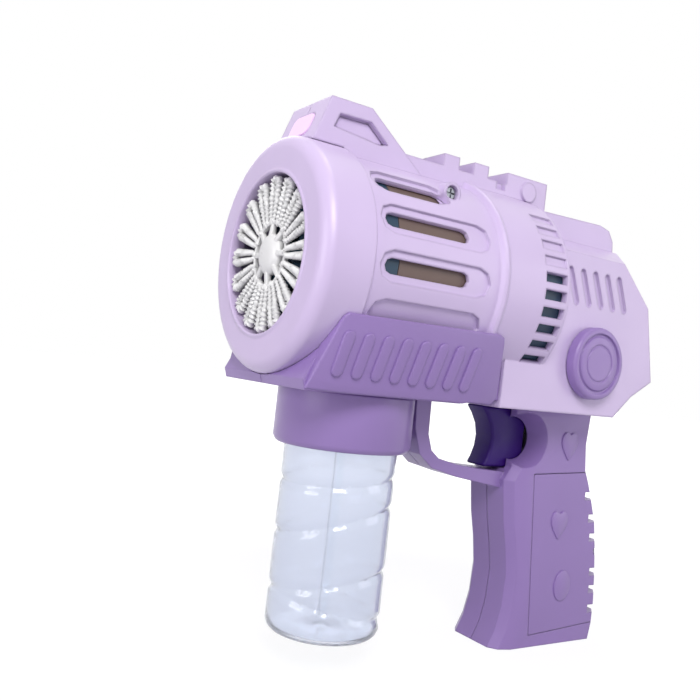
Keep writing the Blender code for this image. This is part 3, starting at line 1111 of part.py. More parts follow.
def bottle_set():
    """The clear bottle with its threaded neck, and the gasket above it."""
    outer = [(BOTTLE_BOTTOM + 1.2 * MM, 0), (BOTTLE_BOTTOM, 3 * MM),
             (BOTTLE_BOTTOM, BOTTLE_RADIUS - 3.4 * MM), (BOTTLE_BOTTOM + 1 * MM, BOTTLE_RADIUS - 1 * MM),
             (BOTTLE_BOTTOM + 3.4 * MM, BOTTLE_RADIUS), (SHOULDER - 4 * MM, BOTTLE_RADIUS),
             (SHOULDER - 1 * MM, BOTTLE_RADIUS - 1.6 * MM), (SHOULDER, NECK_RADIUS),
             (NECK_TOP, NECK_RADIUS)]
    inner = [(NECK_TOP, NECK_RADIUS - 1.6 * MM), (SHOULDER - 0.4 * MM, NECK_RADIUS - 1.6 * MM),
             (SHOULDER - 2.4 * MM, BOTTLE_RADIUS - 3 * MM),
             (SHOULDER - 5 * MM, BOTTLE_RADIUS - BOTTLE_WALL),
             (BOTTLE_BOTTOM + 4 * MM, BOTTLE_RADIUS - BOTTLE_WALL),
             (BOTTLE_BOTTOM + 1.8 * MM, BOTTLE_RADIUS - 3.6 * MM), (BOTTLE_BOTTOM + 2.2 * MM, 0)]
    spot = (BOTTLE_X, 0, NECK_TOP)
    add("bottle", turned(outer + inner, "Z", (BOTTLE_X, 0, 0), 32), finishes["bottle"], spot)
    ceiling = CRADLE_BOTTOM - SEAM - WALL
    ring = [(NECK_TOP + SEAM, NECK_RADIUS - 4 * MM), (NECK_TOP + SEAM, NECK_RADIUS),
            (ceiling - SEAM, NECK_RADIUS), (ceiling - SEAM, NECK_RADIUS - 4 * MM)]
    add("bottle_gasket", turned(ring, "Z", (BOTTLE_X, 0, 0), 24), finishes["rubber"], spot)


# ---------------------------------------------------------------- finishes and assembly

def build_all():
    """Every piece of the machine, from the casings inwards."""
    nose_ring()
    body_halves()
    side_caps()
    cradle_halves()
    bottle_collar()
    handle_halves()
    casing_screws()
    bubble_wheel()
    wheel_drive()
    plates()
    motor_and_fan()
    pump()
    tubes_and_leads()
    tray_and_wiper()
    lamp()
    trigger_set()
    battery_set()
    bottle_set()


for thing in list(bpy.data.objects):
    bpy.data.objects.remove(thing)

finishes = {
    "lavender": material("lavender_abs", "#CFBCE0", 0.38),
    "purple": material("purple_abs", "#9A7FBC", 0.36),
    "dark_purple": material("dark_purple_abs", "#6A4694", 0.4),
    "white": material("white_abs", "#F2F2EE", 0.35),
    "teal": material("teal_abs", "#2F5666", 0.5),
    "brown": material("brown_abs", "#5B4A45", 0.5),
    "grey": material("grey_abs", "#8B8E92", 0.5),
    "black": material("black_abs", "#1C1C1E", 0.45),
    "nylon": material("white_nylon", "#E9E6DC", 0.45),
    "board": material("circuit_board", "#2E6B45", 0.5),
    "rubber": material("soft_rubber", "#4A4A4E", 0.7),
    "silicone": material("clear_silicone", "#E6EEF2", 0.3, transmission=0.6),
    "lead": material("lead_insulation", "#B3262B", 0.5),
    "steel": material("zinc_plated_steel", "#B9BCC0", 0.3, metallic=1.0),
    "brass": material("brass", "#C9A75A", 0.35, metallic=1.0),
    "cell": material("cell_sleeve", "#3C4650", 0.35, metallic=0.4),
    "clear": material("clear_polycarbonate", "#F4F8FF", 0.1, transmission=0.8),
    "bottle": material("clear_pet", "#E3EAF8", 0.08, transmission=0.9),
    "tool": material("cutting_tool", "#FF0000", 0.5),
}

gun = bpy.data.objects.new("gun", None)
gun.location = (-REAR_EDGE / 2, 0, -HANDLE_BASE)
bpy.context.collection.objects.link(gun)
build_all()
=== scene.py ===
"""Bubble machine, dressed for rendering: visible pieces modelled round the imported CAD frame."""

import json
from math import cos, exp, pi, radians, sin, tau

import bmesh
import bpy
from bpy.props import FloatProperty, FloatVectorProperty, IntProperty, PointerProperty
from mathutils import Matrix, Vector

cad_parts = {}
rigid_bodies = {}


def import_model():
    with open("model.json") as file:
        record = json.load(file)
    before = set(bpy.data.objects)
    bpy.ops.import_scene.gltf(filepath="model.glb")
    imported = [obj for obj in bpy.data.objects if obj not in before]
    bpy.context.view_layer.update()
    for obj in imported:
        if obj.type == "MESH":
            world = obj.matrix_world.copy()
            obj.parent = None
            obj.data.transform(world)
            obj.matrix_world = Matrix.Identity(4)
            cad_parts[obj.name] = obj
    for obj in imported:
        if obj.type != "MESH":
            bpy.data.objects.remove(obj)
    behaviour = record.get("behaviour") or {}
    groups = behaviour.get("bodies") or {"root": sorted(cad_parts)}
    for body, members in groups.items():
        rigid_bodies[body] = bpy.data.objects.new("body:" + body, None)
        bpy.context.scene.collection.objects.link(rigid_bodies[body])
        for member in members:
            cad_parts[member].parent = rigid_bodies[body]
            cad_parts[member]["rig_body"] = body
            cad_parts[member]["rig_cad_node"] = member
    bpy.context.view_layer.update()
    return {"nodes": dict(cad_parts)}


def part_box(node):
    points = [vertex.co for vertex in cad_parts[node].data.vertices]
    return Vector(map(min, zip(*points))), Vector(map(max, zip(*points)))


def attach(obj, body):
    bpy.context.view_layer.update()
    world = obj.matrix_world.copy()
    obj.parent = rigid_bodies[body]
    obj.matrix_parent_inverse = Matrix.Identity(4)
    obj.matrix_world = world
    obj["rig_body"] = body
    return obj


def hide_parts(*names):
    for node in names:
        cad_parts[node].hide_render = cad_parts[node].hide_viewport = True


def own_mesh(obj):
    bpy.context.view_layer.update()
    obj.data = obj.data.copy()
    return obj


bl_info = {
    "name": "Bubble machine",
    "version": (1, 0, 0),
    "blender": (4, 5, 0),
    "location": "3D View > Sidebar > Bubble machine",
    "description": "Models and finishes the visible pieces of a toy bubble machine",
    "category": "Add Mesh",
}

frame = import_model()
MM = 0.001
MERGE = 0.002 * MM                            # points closer than this are one
RING_LOW, RING_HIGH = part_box("nose_ring")
MOUTH_X = RING_LOW.x                          # plane of the mouth
AXIS_Z = (RING_LOW.z + RING_HIGH.z) / 2       # height of the barrel's axis
RING_RADIUS = (RING_HIGH.z - RING_LOW.z) / 2
RING_LENGTH = RING_HIGH.x - RING_LOW.x
BOTTLE_LOW, BOTTLE_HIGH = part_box("bottle")
BOTTLE_X = (BOTTLE_LOW.x + BOTTLE_HIGH.x) / 2
BOTTLE_RADIUS = (BOTTLE_HIGH.x - BOTTLE_LOW.x) / 2
AXES = {"X": Vector((1, 0, 0)), "Y": Vector((0, 1, 0)), "Z": Vector((0, 0, 1))}


def linear(code):
    """Linear colour, with alpha, of an sRGB hex code."""
    parts = [int(code[i:i + 2], 16) / 255 for i in (1, 3, 5)]
    return [p / 12.92 if p <= 0.04045 else ((p + 0.055) / 1.055) ** 2.4 for p in parts] + [1.0]


# ---------------------------------------------------------------- sizes and colours to change

class BubbleMachineSizes(bpy.types.PropertyGroup):
    """Sizes of the details, in Blender's length unit."""
    rib_width: FloatProperty(name="Rib width", description="Width of a slanted rib on the cradle",
                             default=4.6 * MM, unit="LENGTH")
    rib_relief: FloatProperty(name="Rib relief", description="How far a rib stands out",
                              default=0.9 * MM, unit="LENGTH")
    rib_count: IntProperty(name="Ribs", description="Ribs on each side of the cradle", default=8,
                           min=2)
    wheel_loops: IntProperty(name="Wheel loops", description="Loops of the bubble wheel",
                             default=16, min=6)
    bottle_groove: FloatProperty(name="Bottle groove", description="Depth of the bottle's grooves",
                                 default=1.1 * MM, unit="LENGTH")


class BubbleMachineColours(bpy.types.PropertyGroup):
    """Colours of the casing."""
    shell: FloatVectorProperty(name="Shell", description="Body and nose ring", subtype="COLOR",
                               size=4, min=0, max=1, default=linear("#D2C0E2"))
    grip: FloatVectorProperty(name="Grip", description="Handle, cradle, collar and caps",
                              subtype="COLOR", size=4, min=0, max=1, default=linear("#957AB6"))
    # as dark as the trigger's shaded side looks: part of this dark purple is painted shade
    trigger: FloatVectorProperty(name="Trigger", description="Trigger", subtype="COLOR",
                                 size=4, min=0, max=1, default=linear("#330C6E"))


# ---------------------------------------------------------------- materials

def add_node(tree, kind, sockets=None, **settings):
    """Add one shader node with its settings, and fill or link its input sockets."""
    made = tree.nodes.new(kind)
    for name, value in settings.items():
        setattr(made, name, value)
    for name, value in (sockets or {}).items():
        if isinstance(value, bpy.types.NodeSocket):
            tree.links.new(value, made.inputs[name])
        else:
            made.inputs[name].default_value = value
    return made


def started(name, roughness, metallic=0.0, ior=1.5):
    """A new material with its tree, its shader and its Object coordinates."""
    made = bpy.data.materials.new(name)
    made.use_nodes = True
    tree = made.node_tree
    shader = tree.nodes["Principled BSDF"]
    shader.inputs["Roughness"].default_value = roughness
    shader.inputs["Metallic"].default_value = metallic
    shader.inputs["IOR"].default_value = ior
    place = add_node(tree, "ShaderNodeTexCoord").outputs["Object"]
    return made, tree, shader, place


def mottled(tree, place, size, low, high, detail=2.0):
    """A number that wanders between two values in patches of a size in millimetres.
    Most of the noise lies from 0.3 to 0.7, and that span is stretched to the two values."""
    noise = add_node(tree, "ShaderNodeTexNoise",
                     {"Vector": place, "Scale": 1 / (size * MM), "Detail": detail})
    return add_node(tree, "ShaderNodeMapRange",
                    {"Value": noise.outputs["Fac"], "From Min": 0.3, "From Max": 0.7,
                     "To Min": low, "To Max": high}).outputs["Result"]


def tinted(tree, shader, colour, share, amount):
    """The colour, darkened by up to a share where the amount is 1."""
    dark = [c * (1 - share) for c in colour[:3]] + [1.0]
    tone = add_node(tree, "ShaderNodeMix", {0: amount, 6: colour, 7: dark}, data_type="RGBA")
    tree.links.new(tone.outputs[2], shader.inputs["Base Color"])


def moulded(name, colour, roughness, grain, relief, edge=0.5, ior=1.53):
    """Injection-moulded plastic: satin, with the mould's fine grain and softly rounded edges.
    Grain, relief and edge are in millimetres. A real mould's grain of about 0.1 mm is too fine
    to show, so it is drawn coarser. The tone drifts a little where the melt flowed, and the
    gloss wanders in patches of 6 mm."""
    made, tree, shader, place = started(name, roughness, ior=ior)
    tinted(tree, shader, colour, 0.05, mottled(tree, place, 35.0, 0.0, 1.0))
    wander = mottled(tree, place, 6.0, roughness - 0.04, roughness + 0.04)
    tree.links.new(wander, shader.inputs["Roughness"])
    edges = add_node(tree, "ShaderNodeBevel", {"Radius": edge * MM}, samples=4)
    bump = add_node(tree, "ShaderNodeBump",
                    {"Height": mottled(tree, place, grain, 0.0, 1.0), "Strength": 0.25,
                     "Distance": relief * MM, "Normal": edges.outputs["Normal"]})
    tree.links.new(bump.outputs["Normal"], shader.inputs["Normal"])
    return made


def metal(name, colour, roughness, streak, along="X"):
    """Bare or plated metal: fine lines run along the way it was drawn, rolled or ground."""
    made, tree, shader, place = started(name, roughness, metallic=1.0)
    stretch = 12.0                             # a line is this many times longer than wide
    scale = [1 / stretch if axis == along else 1.0 for axis in "XYZ"]
    lines = add_node(tree, "ShaderNodeMapping", {"Vector": place, "Scale": scale})
    grain = mottled(tree, lines.outputs["Vector"], streak, roughness - 0.08, roughness + 0.1, 4.0)
    tree.links.new(grain, shader.inputs["Roughness"])
    tinted(tree, shader, colour, 0.12, mottled(tree, place, 3.0, 0.0, 1.0))
    return made


def clear(name, colour, roughness, ior, ripple):
    """Clear plastic: smooth and glossy, with the slight ripple of a blown or moulded wall.
    The ripple's height is in millimetres, and its waves are about 9 mm long."""
    made, tree, shader, place = started(name, roughness, ior=ior)
    shader.inputs["Base Color"].default_value = colour
    shader.inputs["Transmission Weight"].default_value = 1.0
    bump = add_node(tree, "ShaderNodeBump",
                    {"Height": mottled(tree, place, 9.0, 0.0, 1.0), "Strength": 0.3,
                     "Distance": ripple * MM})
    tree.links.new(bump.outputs["Normal"], shader.inputs["Normal"])
    return made


def soft(name, colour, roughness, grain):
    """Rubber or soft PVC: matt, with an uneven grain in millimetres and a dusty bloom."""
    made, tree, shader, place = started(name, roughness, ior=1.52)
    tinted(tree, shader, colour, 0.15, mottled(tree, place, 2.0, 0.0, 1.0))
    bump = add_node(tree, "ShaderNodeBump",
                    {"Height": mottled(tree, place, grain, 0.0, 1.0), "Strength": 0.3,
                     "Distance": 0.02 * MM})
    tree.links.new(bump.outputs["Normal"], shader.inputs["Normal"])
    shader.inputs["Sheen Weight"].default_value = 0.15
    return made


def glowing_lens(name):
    """Frosted polycarbonate over a lit lamp: it scatters the light evenly."""
    made = clear(name, linear("#EBD3EE"), 0.35, 1.585, 0.02)
    shader = made.node_tree.nodes["Principled BSDF"]
    shader.inputs["Transmission Weight"].default_value = 0.35
    shader.inputs["Emission Color"].default_value = linear("#F7DDF6")
    shader.inputs["Emission Strength"].default_value = 0.2
    return made


def solder_masked(name):
    """Green solder mask over copper tracks, which show as lighter lines about 2 mm apart.
    The wave repeats every 0.314 / 160 m."""
    made, tree, shader, place = started(name, 0.35, ior=1.55)
    lines = add_node(tree, "ShaderNodeTexWave",
                     {"Vector": place, "Scale": 160.0, "Distortion": 6.0, "Detail": 0.0})
    tinted(tree, shader, linear("#2F7A4C"), 0.35, lines.outputs["Fac"])
    return made


def make_finishes(colours):
    """Every finish of the machine, named for what the real piece is made of."""
    grain, relief = 0.5, 0.012
    # name, colour, roughness, and the radius of the rounded edges in millimetres
    abs_plastic = {
        # casing with thick rolled edges: broad soft highlights that run along every edge
        "lavender_shell": ("lavender_satin_abs", colours.shell, 0.32, 1.3),
        "purple_shell": ("purple_satin_abs", colours.grip, 0.32, 0.8),
        # duller than the casing and hardly a highlight: a dark purple as dark as the trigger's
        # shaded side, so part of that darkness is painted shade
        "dark_purple_trigger": ("dark_purple_abs", colours.trigger, 0.42, 0.4),
        # smooth, with crisp edges: small bright glints on every rib
        "white_wheel": ("white_gloss_abs", linear("#E6E6E4"), 0.3, 0.15),
        # inner walls straight from a plain mould: flat and dull
        # the teal is darkened well below its own colour: painted shade for the dim inside of the
        # barrel and the walls behind the vents
        "teal_inner": ("teal_abs", linear("#1D3C50"), 0.5, 0.3),
        "brown_inner": ("brown_abs", linear("#6A5850"), 0.5, 0.3),
        "grey_inner": ("grey_abs", linear("#85888C"), 0.5, 0.3),
        "black_switch": ("black_pbt", linear("#1D1D20"), 0.45, 0.3),
    }
    made = {slot: moulded(name, list(colour), rough, grain, relief, edge)
            for slot, (name, colour, rough, edge) in abs_plastic.items()}
    blade = made["dark_purple_trigger"].node_tree.nodes["Principled BSDF"]
    blade.inputs["Specular IOR Level"].default_value = 0.25
    # moulded gears and rollers: milky and waxy
    made["nylon_gear"] = moulded("natural_nylon", linear("#E9E6DC"), 0.5, 0.8, 0.02, ior=1.53)
    # name, colour, roughness, and the width of a drawn or ground line in millimetres
    made["zinc_screw"] = metal("zinc_plated_steel", linear("#8C8F96"), 0.32, 0.4)
    made["steel_shaft"] = metal("ground_steel", linear("#C2C4C8"), 0.25, 0.15, "Y")
    made["motor_case"] = metal("drawn_steel_can", linear("#A9ACB0"), 0.3, 0.6)
    made["brass_part"] = metal("rolled_brass", linear("#C9A75A"), 0.32, 0.3)
    made["cell_sleeve"] = metal("lacquered_cell_can", linear("#4B5660"), 0.35, 0.8, "Z")
    # these tubes are solid, without a bore: an IOR below silicone's 1.4 keeps them faint, as a
    # thin hose is, and was chosen
    made["clear_silicone"] = clear("clear_silicone_hose", linear("#F6F9FB"), 0.1, 1.2, 0.02)
    made["clear_pet"] = clear("clear_pet", linear("#EEF2FC"), 0.12, 1.5, 0.05)
    # not wholly clear: matched to the bottle's faintly milky look
    pet = made["clear_pet"].node_tree.nodes["Principled BSDF"]
    pet.inputs["Transmission Weight"].default_value = 0.86
    made["clear_lens"] = glowing_lens("frosted_polycarbonate")
    made["red_lead"] = soft("red_pvc_insulation", linear("#B3262B"), 0.45, 0.5)
    made["soft_rubber"] = soft("soft_black_rubber", linear("#3E3E42"), 0.75, 0.3)
    made["board"] = solder_masked("solder_masked_board")
    return made


# CAD nodes that are carried over, by the finish that they are given
CARRIED = {
    "zinc_screw": ("duct_screw", "housing_screw", "grip_screw_upper", "grip_screw_lower",
                   "cradle_screw_left", "cradle_screw_right", "door_screw"),
    "steel_shaft": ("wheel_shaft", "idler_pin", "motor_shaft"),
    "motor_case": ("motor",),
    "brass_part": ("wheel_bush", "motor_pinion", "contact_top_single", "contact_top_double",
                   "contact_low_double", "contact_low_single"),
    "nylon_gear": ("wheel_gear", "idler_gear", "pump_gear", "pump_rotor"),
    "white_wheel": ("liquid_tray",),
    "teal_inner": ("wheel_bulkhead",),
    "brown_inner": ("air_duct",),
    "grey_inner": ("motor_plate", "fan", "pump_housing", "pump_cover", "switch_plate",
                   "battery_box"),
    "clear_silicone": ("pump_tube", "dip_tube"),
    "red_lead": ("motor_leads", "lamp_leads", "battery_leads"),
    "soft_rubber": ("wiper", "bottle_gasket"),
    "clear_lens": ("lamp_lens", "lamp"),
    "board": ("lamp_board", "circuit_board"),
    "black_switch": ("microswitch",),
    "cell_sleeve": ("battery_cell_1", "battery_cell_2", "battery_cell_3"),
}
finishes = {}                                 # filled by the finishes operator


# ---------------------------------------------------------------- modelling helpers

def at(x, y, z):
    """A point in millimetres from the centre of the mouth, in the scene."""
    return Vector((MOUTH_X + x * MM, y * MM, AXIS_Z + z * MM))


def only(*pieces):
    """Select these pieces and nothing else, and make the last one active."""
    bpy.ops.object.select_all(action="DESELECT")
    for piece in pieces:
        piece.select_set(True)
    bpy.context.view_layer.objects.active = pieces[-1]


def edit(piece, kind="FACE"):
    """Open a piece in edit mode with nothing selected."""
    only(piece)
    bpy.ops.object.mode_set(mode="EDIT")
    bpy.ops.mesh.select_mode(type=kind)
    bpy.ops.mesh.select_all(action="DESELECT")


def close_edit():
    """Back to object mode."""
    bpy.ops.object.mode_set(mode="OBJECT")


def pick(piece, test, kind="faces"):
    """Select what passes the test among the faces, edges or vertices of the piece being edited."""
    shape = bmesh.from_edit_mesh(piece.data)
    for part in getattr(shape, kind):
        part.select_set(bool(test(part)))
    shape.select_flush_mode()
    bmesh.update_edit_mesh(piece.data)


def chain(name, points):
    """A new piece, left in edit mode: one vertex extruded from point to point."""
    bpy.ops.object.select_all(action="DESELECT")
    bpy.ops.mesh.primitive_plane_add(size=MM, location=(0, 0, 0))
    piece = bpy.context.object
    piece.name = piece.data.name = name
    bpy.ops.object.mode_set(mode="EDIT")
    bpy.ops.mesh.select_mode(type="VERT")
    bpy.ops.mesh.select_all(action="SELECT")
    bpy.ops.mesh.merge(type="CENTER")
    bpy.ops.transform.translate(value=points[0])
    for here, there in zip(points, points[1:]):
        bpy.ops.mesh.extrude_vertices_move(TRANSFORM_OT_translate={"value": there - here})
    bpy.ops.mesh.select_all(action="SELECT")
    return piece


def turned(name, profile, centre, axis="X", steps=96, out=None, angle=tau):
    """Spin (along, radius) points in millimetres round an axis through a point."""
    out = out or (AXES["X"] if axis == "Z" else AXES["Z"])
    points = [centre + AXES[axis] * a * MM + out * r * MM for a, r in profile]
    piece = chain(name, points)
    bpy.ops.mesh.spin(steps=steps, angle=angle, center=centre, axis=AXES[axis])
    bpy.ops.mesh.select_all(action="SELECT")
    bpy.ops.mesh.remove_doubles(threshold=MERGE)
    bpy.ops.mesh.fill_holes(sides=0)
    bpy.ops.mesh.normals_make_consistent(inside=False)
    close_edit()
    return piece


def extruded(name, outline, low, high):
    """A flat (x, z) outline in millimetres, extruded between two depths along Y."""
    piece = chain(name, [at(x, low, z) for x, z in outline])
    bpy.ops.mesh.edge_face_add()
    bpy.ops.mesh.extrude_region_move(TRANSFORM_OT_translate={"value": (0, (high - low) * MM, 0)})
    bpy.ops.mesh.select_all(action="SELECT")
    bpy.ops.mesh.normals_make_consistent(inside=False)
    close_edit()
    return piece


def applied(piece, kind, **settings):
    """Add a modifier with its settings and apply it."""
    only(piece)
    step = piece.modifiers.new(kind.title(), kind)
    for name, value in settings.items():
        setattr(step, name, value)
    bpy.ops.object.modifier_apply(modifier=step.name)
    return piece


def rounded(piece, width, segments=2, angle=30):
    """Round the edges that turn by more than an angle."""
    return applied(piece, "BEVEL", width=width * MM, segments=segments, limit_method="ANGLE",
                   angle_limit=radians(angle))


def carved(piece, tool, operation="DIFFERENCE"):
    """Cut a piece with a tool, or join the tool to it, and remove the tool."""
    applied(piece, "BOOLEAN", operation=operation, solver="EXACT", object=tool)
    bpy.data.objects.remove(tool)
    return piece


def smoothed(piece, angle=35):
    """Shade smooth up to an angle between faces."""
    only(piece)
    bpy.ops.object.shade_smooth_by_angle(angle=radians(angle))
    return piece


def joined(name, pieces):
    """Several pieces as one."""
    only(*pieces)
    bpy.ops.object.join()
    whole = bpy.context.object
    whole.name = whole.data.name = name
    return whole


def copies_round(piece, count, centre, axis):
    """Copies of a piece, each with its own mesh, evenly round an axis."""
    whole = [piece]
    for k in range(1, count):
        twin = piece.copy()
        twin.data = piece.data.copy()
        turn = Matrix.Rotation(tau * k / count, 4, AXES[axis])
        twin.data.transform(Matrix.Translation(centre) @ turn @ Matrix.Translation(-centre))
        bpy.context.collection.objects.link(twin)
        whole.append(twin)
    return whole


def mirrored_copy(piece, name):
    """The twin of a piece across the seam plane, with its faces outwards."""
    twin = piece.copy()
    twin.data = piece.data.copy()
    twin.name = twin.data.name = name
    twin.data.transform(Matrix.Diagonal((1, -1, 1, 1)))
    bpy.context.collection.objects.link(twin)
    edit(twin)
    bpy.ops.mesh.select_all(action="SELECT")
    bpy.ops.mesh.flip_normals()
    close_edit()
    return twin


def copied(node, name):
    """A copy of a CAD node, with its loose triangles merged into whole faces."""
    only(frame["nodes"][node])
    bpy.ops.object.duplicate()
    piece = bpy.context.object
    bpy.ops.object.parent_clear(type="CLEAR_KEEP_TRANSFORM")
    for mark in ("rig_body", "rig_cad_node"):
        del piece[mark]
    piece.name = piece.data.name = name
    edit(piece, "VERT")
    bpy.ops.mesh.select_all(action="SELECT")
    bpy.ops.mesh.remove_doubles(threshold=MERGE)
    bpy.ops.mesh.dissolve_limited(angle_limit=radians(0.3))
    close_edit()
    bpy.ops.mesh.customdata_custom_splitnormals_clear()
    return piece


def settled(piece, body, slot, *nodes):
    """Give a piece its finish and tie it to a body, in place of CAD nodes."""
    piece.data.materials.clear()
    piece.data.materials.append(finishes[slot])
    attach(piece, body)
    if nodes:
        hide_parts(*nodes)
    return piece


def even_barrel(piece):
    """Shade the facets round the barrel's axis as the true cylinder."""
    steep, near = 0.9, cos(radians(6))         # faces across the axis, and facets of a cylinder
    smoothed(piece, 30)
    mesh = piece.data
    normals = [Vector((0, 0, 0))] * len(mesh.loops)
    for face in mesh.polygons:
        along = face.normal.x
        if abs(along) > steep:
            continue
        for index in face.loop_indices:
            spot = mesh.vertices[mesh.loops[index].vertex_index].co
            out = Vector((0, spot.y, spot.z - AXIS_Z)).normalized()
            side = Vector((0, face.normal.y, face.normal.z)).normalized()
            if abs(out.dot(side)) > near:
                level = (1 - along ** 2) ** 0.5 * (1 if out.dot(side) > 0 else -1)
                normals[index] = Vector((along, out.y * level, out.z * level))
    mesh.normals_split_custom_set(normals)
    return piece


def stadium(x0, z0, x1, z1, width, steps=8):
    """Outline of a round-ended bar between two points, in millimetres."""
    start, end = Vector((x0, z0)), Vector((x1, z1))
    along = (end - start).normalized()
    across = Vector((-along.y, along.x)) * width / 2
    outline = []
    for middle, sign in ((end, 1), (start, -1)):
        for k in range(steps + 1):
            a = pi * k / steps
            spot = middle - sign * across * cos(a) + sign * along * width / 2 * sin(a)
            outline.append(tuple(spot))
    return outline


# ---------------------------------------------------------------- operators

class BUBBLE_OT_stage(bpy.types.Operator):
    """Pale floor, soft studio light and the camera"""
    bl_idname = "bubble.stage"
    bl_label = "Stage"

    # name, place in metres, size in metres and power in watts
    LIGHTS = (("key", (-0.45, -0.75, 0.75), 0.45, 7.4),
              ("front", (-0.95, -0.1, 0.25), 0.5, 2.6),
              ("fill", (0.75, -0.7, 0.35), 0.6, 1.6),
              ("back", (0.3, 0.8, 0.6), 0.6, 2.2),
              ("top", (0.05, 0.0, 1.0), 0.4, 1.2))
    MIDDLE = Vector((0, 0, 0.11))              # the lamps aim here
    # the photograph's view: place in metres, directions to the right and up, and lens in mm
    CAMERA_PLACE = (-0.2229, -0.2618, 0.1164)
    CAMERA_RIGHT = Vector((0.8315, -0.5444, 0.1109))
    CAMERA_UP = Vector((-0.1028, 0.0454, 0.9937))
    FOCAL_LENGTH = 40.64

    def execute(self, context):
        scene = context.scene
        scene.view_settings.view_transform = "Standard"
        bpy.ops.object.select_all(action="DESELECT")
        bpy.ops.mesh.primitive_plane_add(size=8.0, location=(0, 0, 0))
        floor = context.object
        floor.name = "floor"
        floor.data.materials.append(self.floor_material())
        self.world(scene)
        for name, place, size, power in self.LIGHTS:
            aim = (self.MIDDLE - Vector(place)).to_track_quat("-Z", "Y").to_euler()
            bpy.ops.object.light_add(type="AREA", location=place, rotation=aim)
            light = context.object
            light.name = name
            light.data.size = size
            light.data.energy = power
        right, up = self.CAMERA_RIGHT, self.CAMERA_UP
        turn = Matrix((right, up, right.cross(up))).transposed().to_euler()
        bpy.ops.object.camera_add(location=self.CAMERA_PLACE, rotation=turn)
        scene.camera = context.object
        scene.camera.data.lens = self.FOCAL_LENGTH
        return {"FINISHED"}

    def floor_material(self):
        """Matt pale board: it keeps the shadow near the piece and fades to white further off."""
        near, far = 0.15, 0.6                  # metres from the middle of the floor
        near_share = 0.7                       # of plain white in what is seen there
        made, tree, shader, place = started("pale_board", 0.9)
        shader.inputs["Base Color"].default_value = linear("#C4C3CA")
        white = add_node(tree, "ShaderNodeEmission", {"Color": (1, 1, 1, 1), "Strength": 1.25})
        apart = add_node(tree, "ShaderNodeVectorMath", {0: place}, operation="LENGTH")
        fade = add_node(tree, "ShaderNodeMapRange",
                        {"Value": apart.outputs["Value"], "From Min": near, "From Max": far,
                         "To Min": near_share, "To Max": 1.0})
        share = add_node(tree, "ShaderNodeMath", {0: self.seen(tree), 1: fade.outputs[0]},
                         operation="MULTIPLY").outputs[0]
        mix = add_node(tree, "ShaderNodeMixShader",
                       {0: share, 1: shader.outputs[0], 2: white.outputs[0]})
        tree.links.new(mix.outputs[0], tree.nodes["Material Output"].inputs["Surface"])
        return made

    def world(self, scene):
        """Even light all round, seen as white by the camera, in metal and through glass."""
        scene.world = bpy.data.worlds.new("studio")
        scene.world.use_nodes = True
        tree = scene.world.node_tree
        light = tree.nodes["Background"]
        light.inputs["Color"].default_value = linear("#EEE8FA")
        light.inputs["Strength"].default_value = 0.3
        white = add_node(tree, "ShaderNodeBackground", {"Color": (1, 1, 1, 1), "Strength": 1.0})
        mix = add_node(tree, "ShaderNodeMixShader",
                       {0: self.seen(tree), 1: light.outputs[0], 2: white.outputs[0]})
        tree.links.new(mix.outputs[0], tree.nodes["World Output"].inputs["Surface"])

    def seen(self, tree):
        """1 for the rays that show the surroundings: camera, glossy and transmission rays."""
        path = add_node(tree, "ShaderNodeLightPath")
        both = add_node(tree, "ShaderNodeMath", {0: path.outputs["Is Camera Ray"],
                                                 1: path.outputs["Is Glossy Ray"]},
                        operation="MAXIMUM")
        return add_node(tree, "ShaderNodeMath", {0: both.outputs[0],
                                                 1: path.outputs["Is Transmission Ray"]},
                        operation="MAXIMUM").outputs[0]


class BUBBLE_OT_finishes(bpy.types.Operator):
    """Materials of the whole machine, given to the CAD nodes that are carried over"""
    bl_idname = "bubble.finishes"
    bl_label = "Finishes"

    def execute(self, context):
        finishes.update(make_finishes(context.scene.bubble_colours))
        for slot, names in CARRIED.items():
            for name in names:
                node = frame["nodes"][name]
                for index in range(len(node.material_slots)):
                    node.material_slots[index].material = finishes[slot]
        return {"FINISHED"}


class BUBBLE_OT_nose(bpy.types.Operator):
    """Turned ring round the mouth, with a soft outer edge and a thin lip"""
    bl_idname = "bubble.nose"
    bl_label = "Nose ring"

    def execute(self, context):
        outer, long = RING_RADIUS / MM, RING_LENGTH / MM
        inner = outer - 2.6
        lip, bore, back = 6.2, 29.8, 31.6      # the mouth's lip: depth, and inner and outer radius
        face, corner, deep, steps = 0.45, 5.6, 5.2, 12  # where the outer round starts, its size
        profile = [(lip, bore), (0.5, bore), (0.1, 30.1), (0.0, 30.6), (0.2, 31.1), (face, 31.4)]
        for k in range(steps + 1):
            a = pi / 2 * k / steps
            profile.append((face + (deep - face) * (1 - cos(a)), outer - corner * (1 - sin(a))))
        profile += [(long - 0.5, outer), (long, outer - 0.5), (long, inner), (4.6, inner),
                    (2.8, inner - 3.0), (2.6, back), (lip, back), (lip, bore)]
        ring = smoothed(turned("nose_face", profile, at(0, 0, 0), steps=128), 32)
        settled(ring, "root", "lavender_shell", "nose_ring")
        return {"FINISHED"}


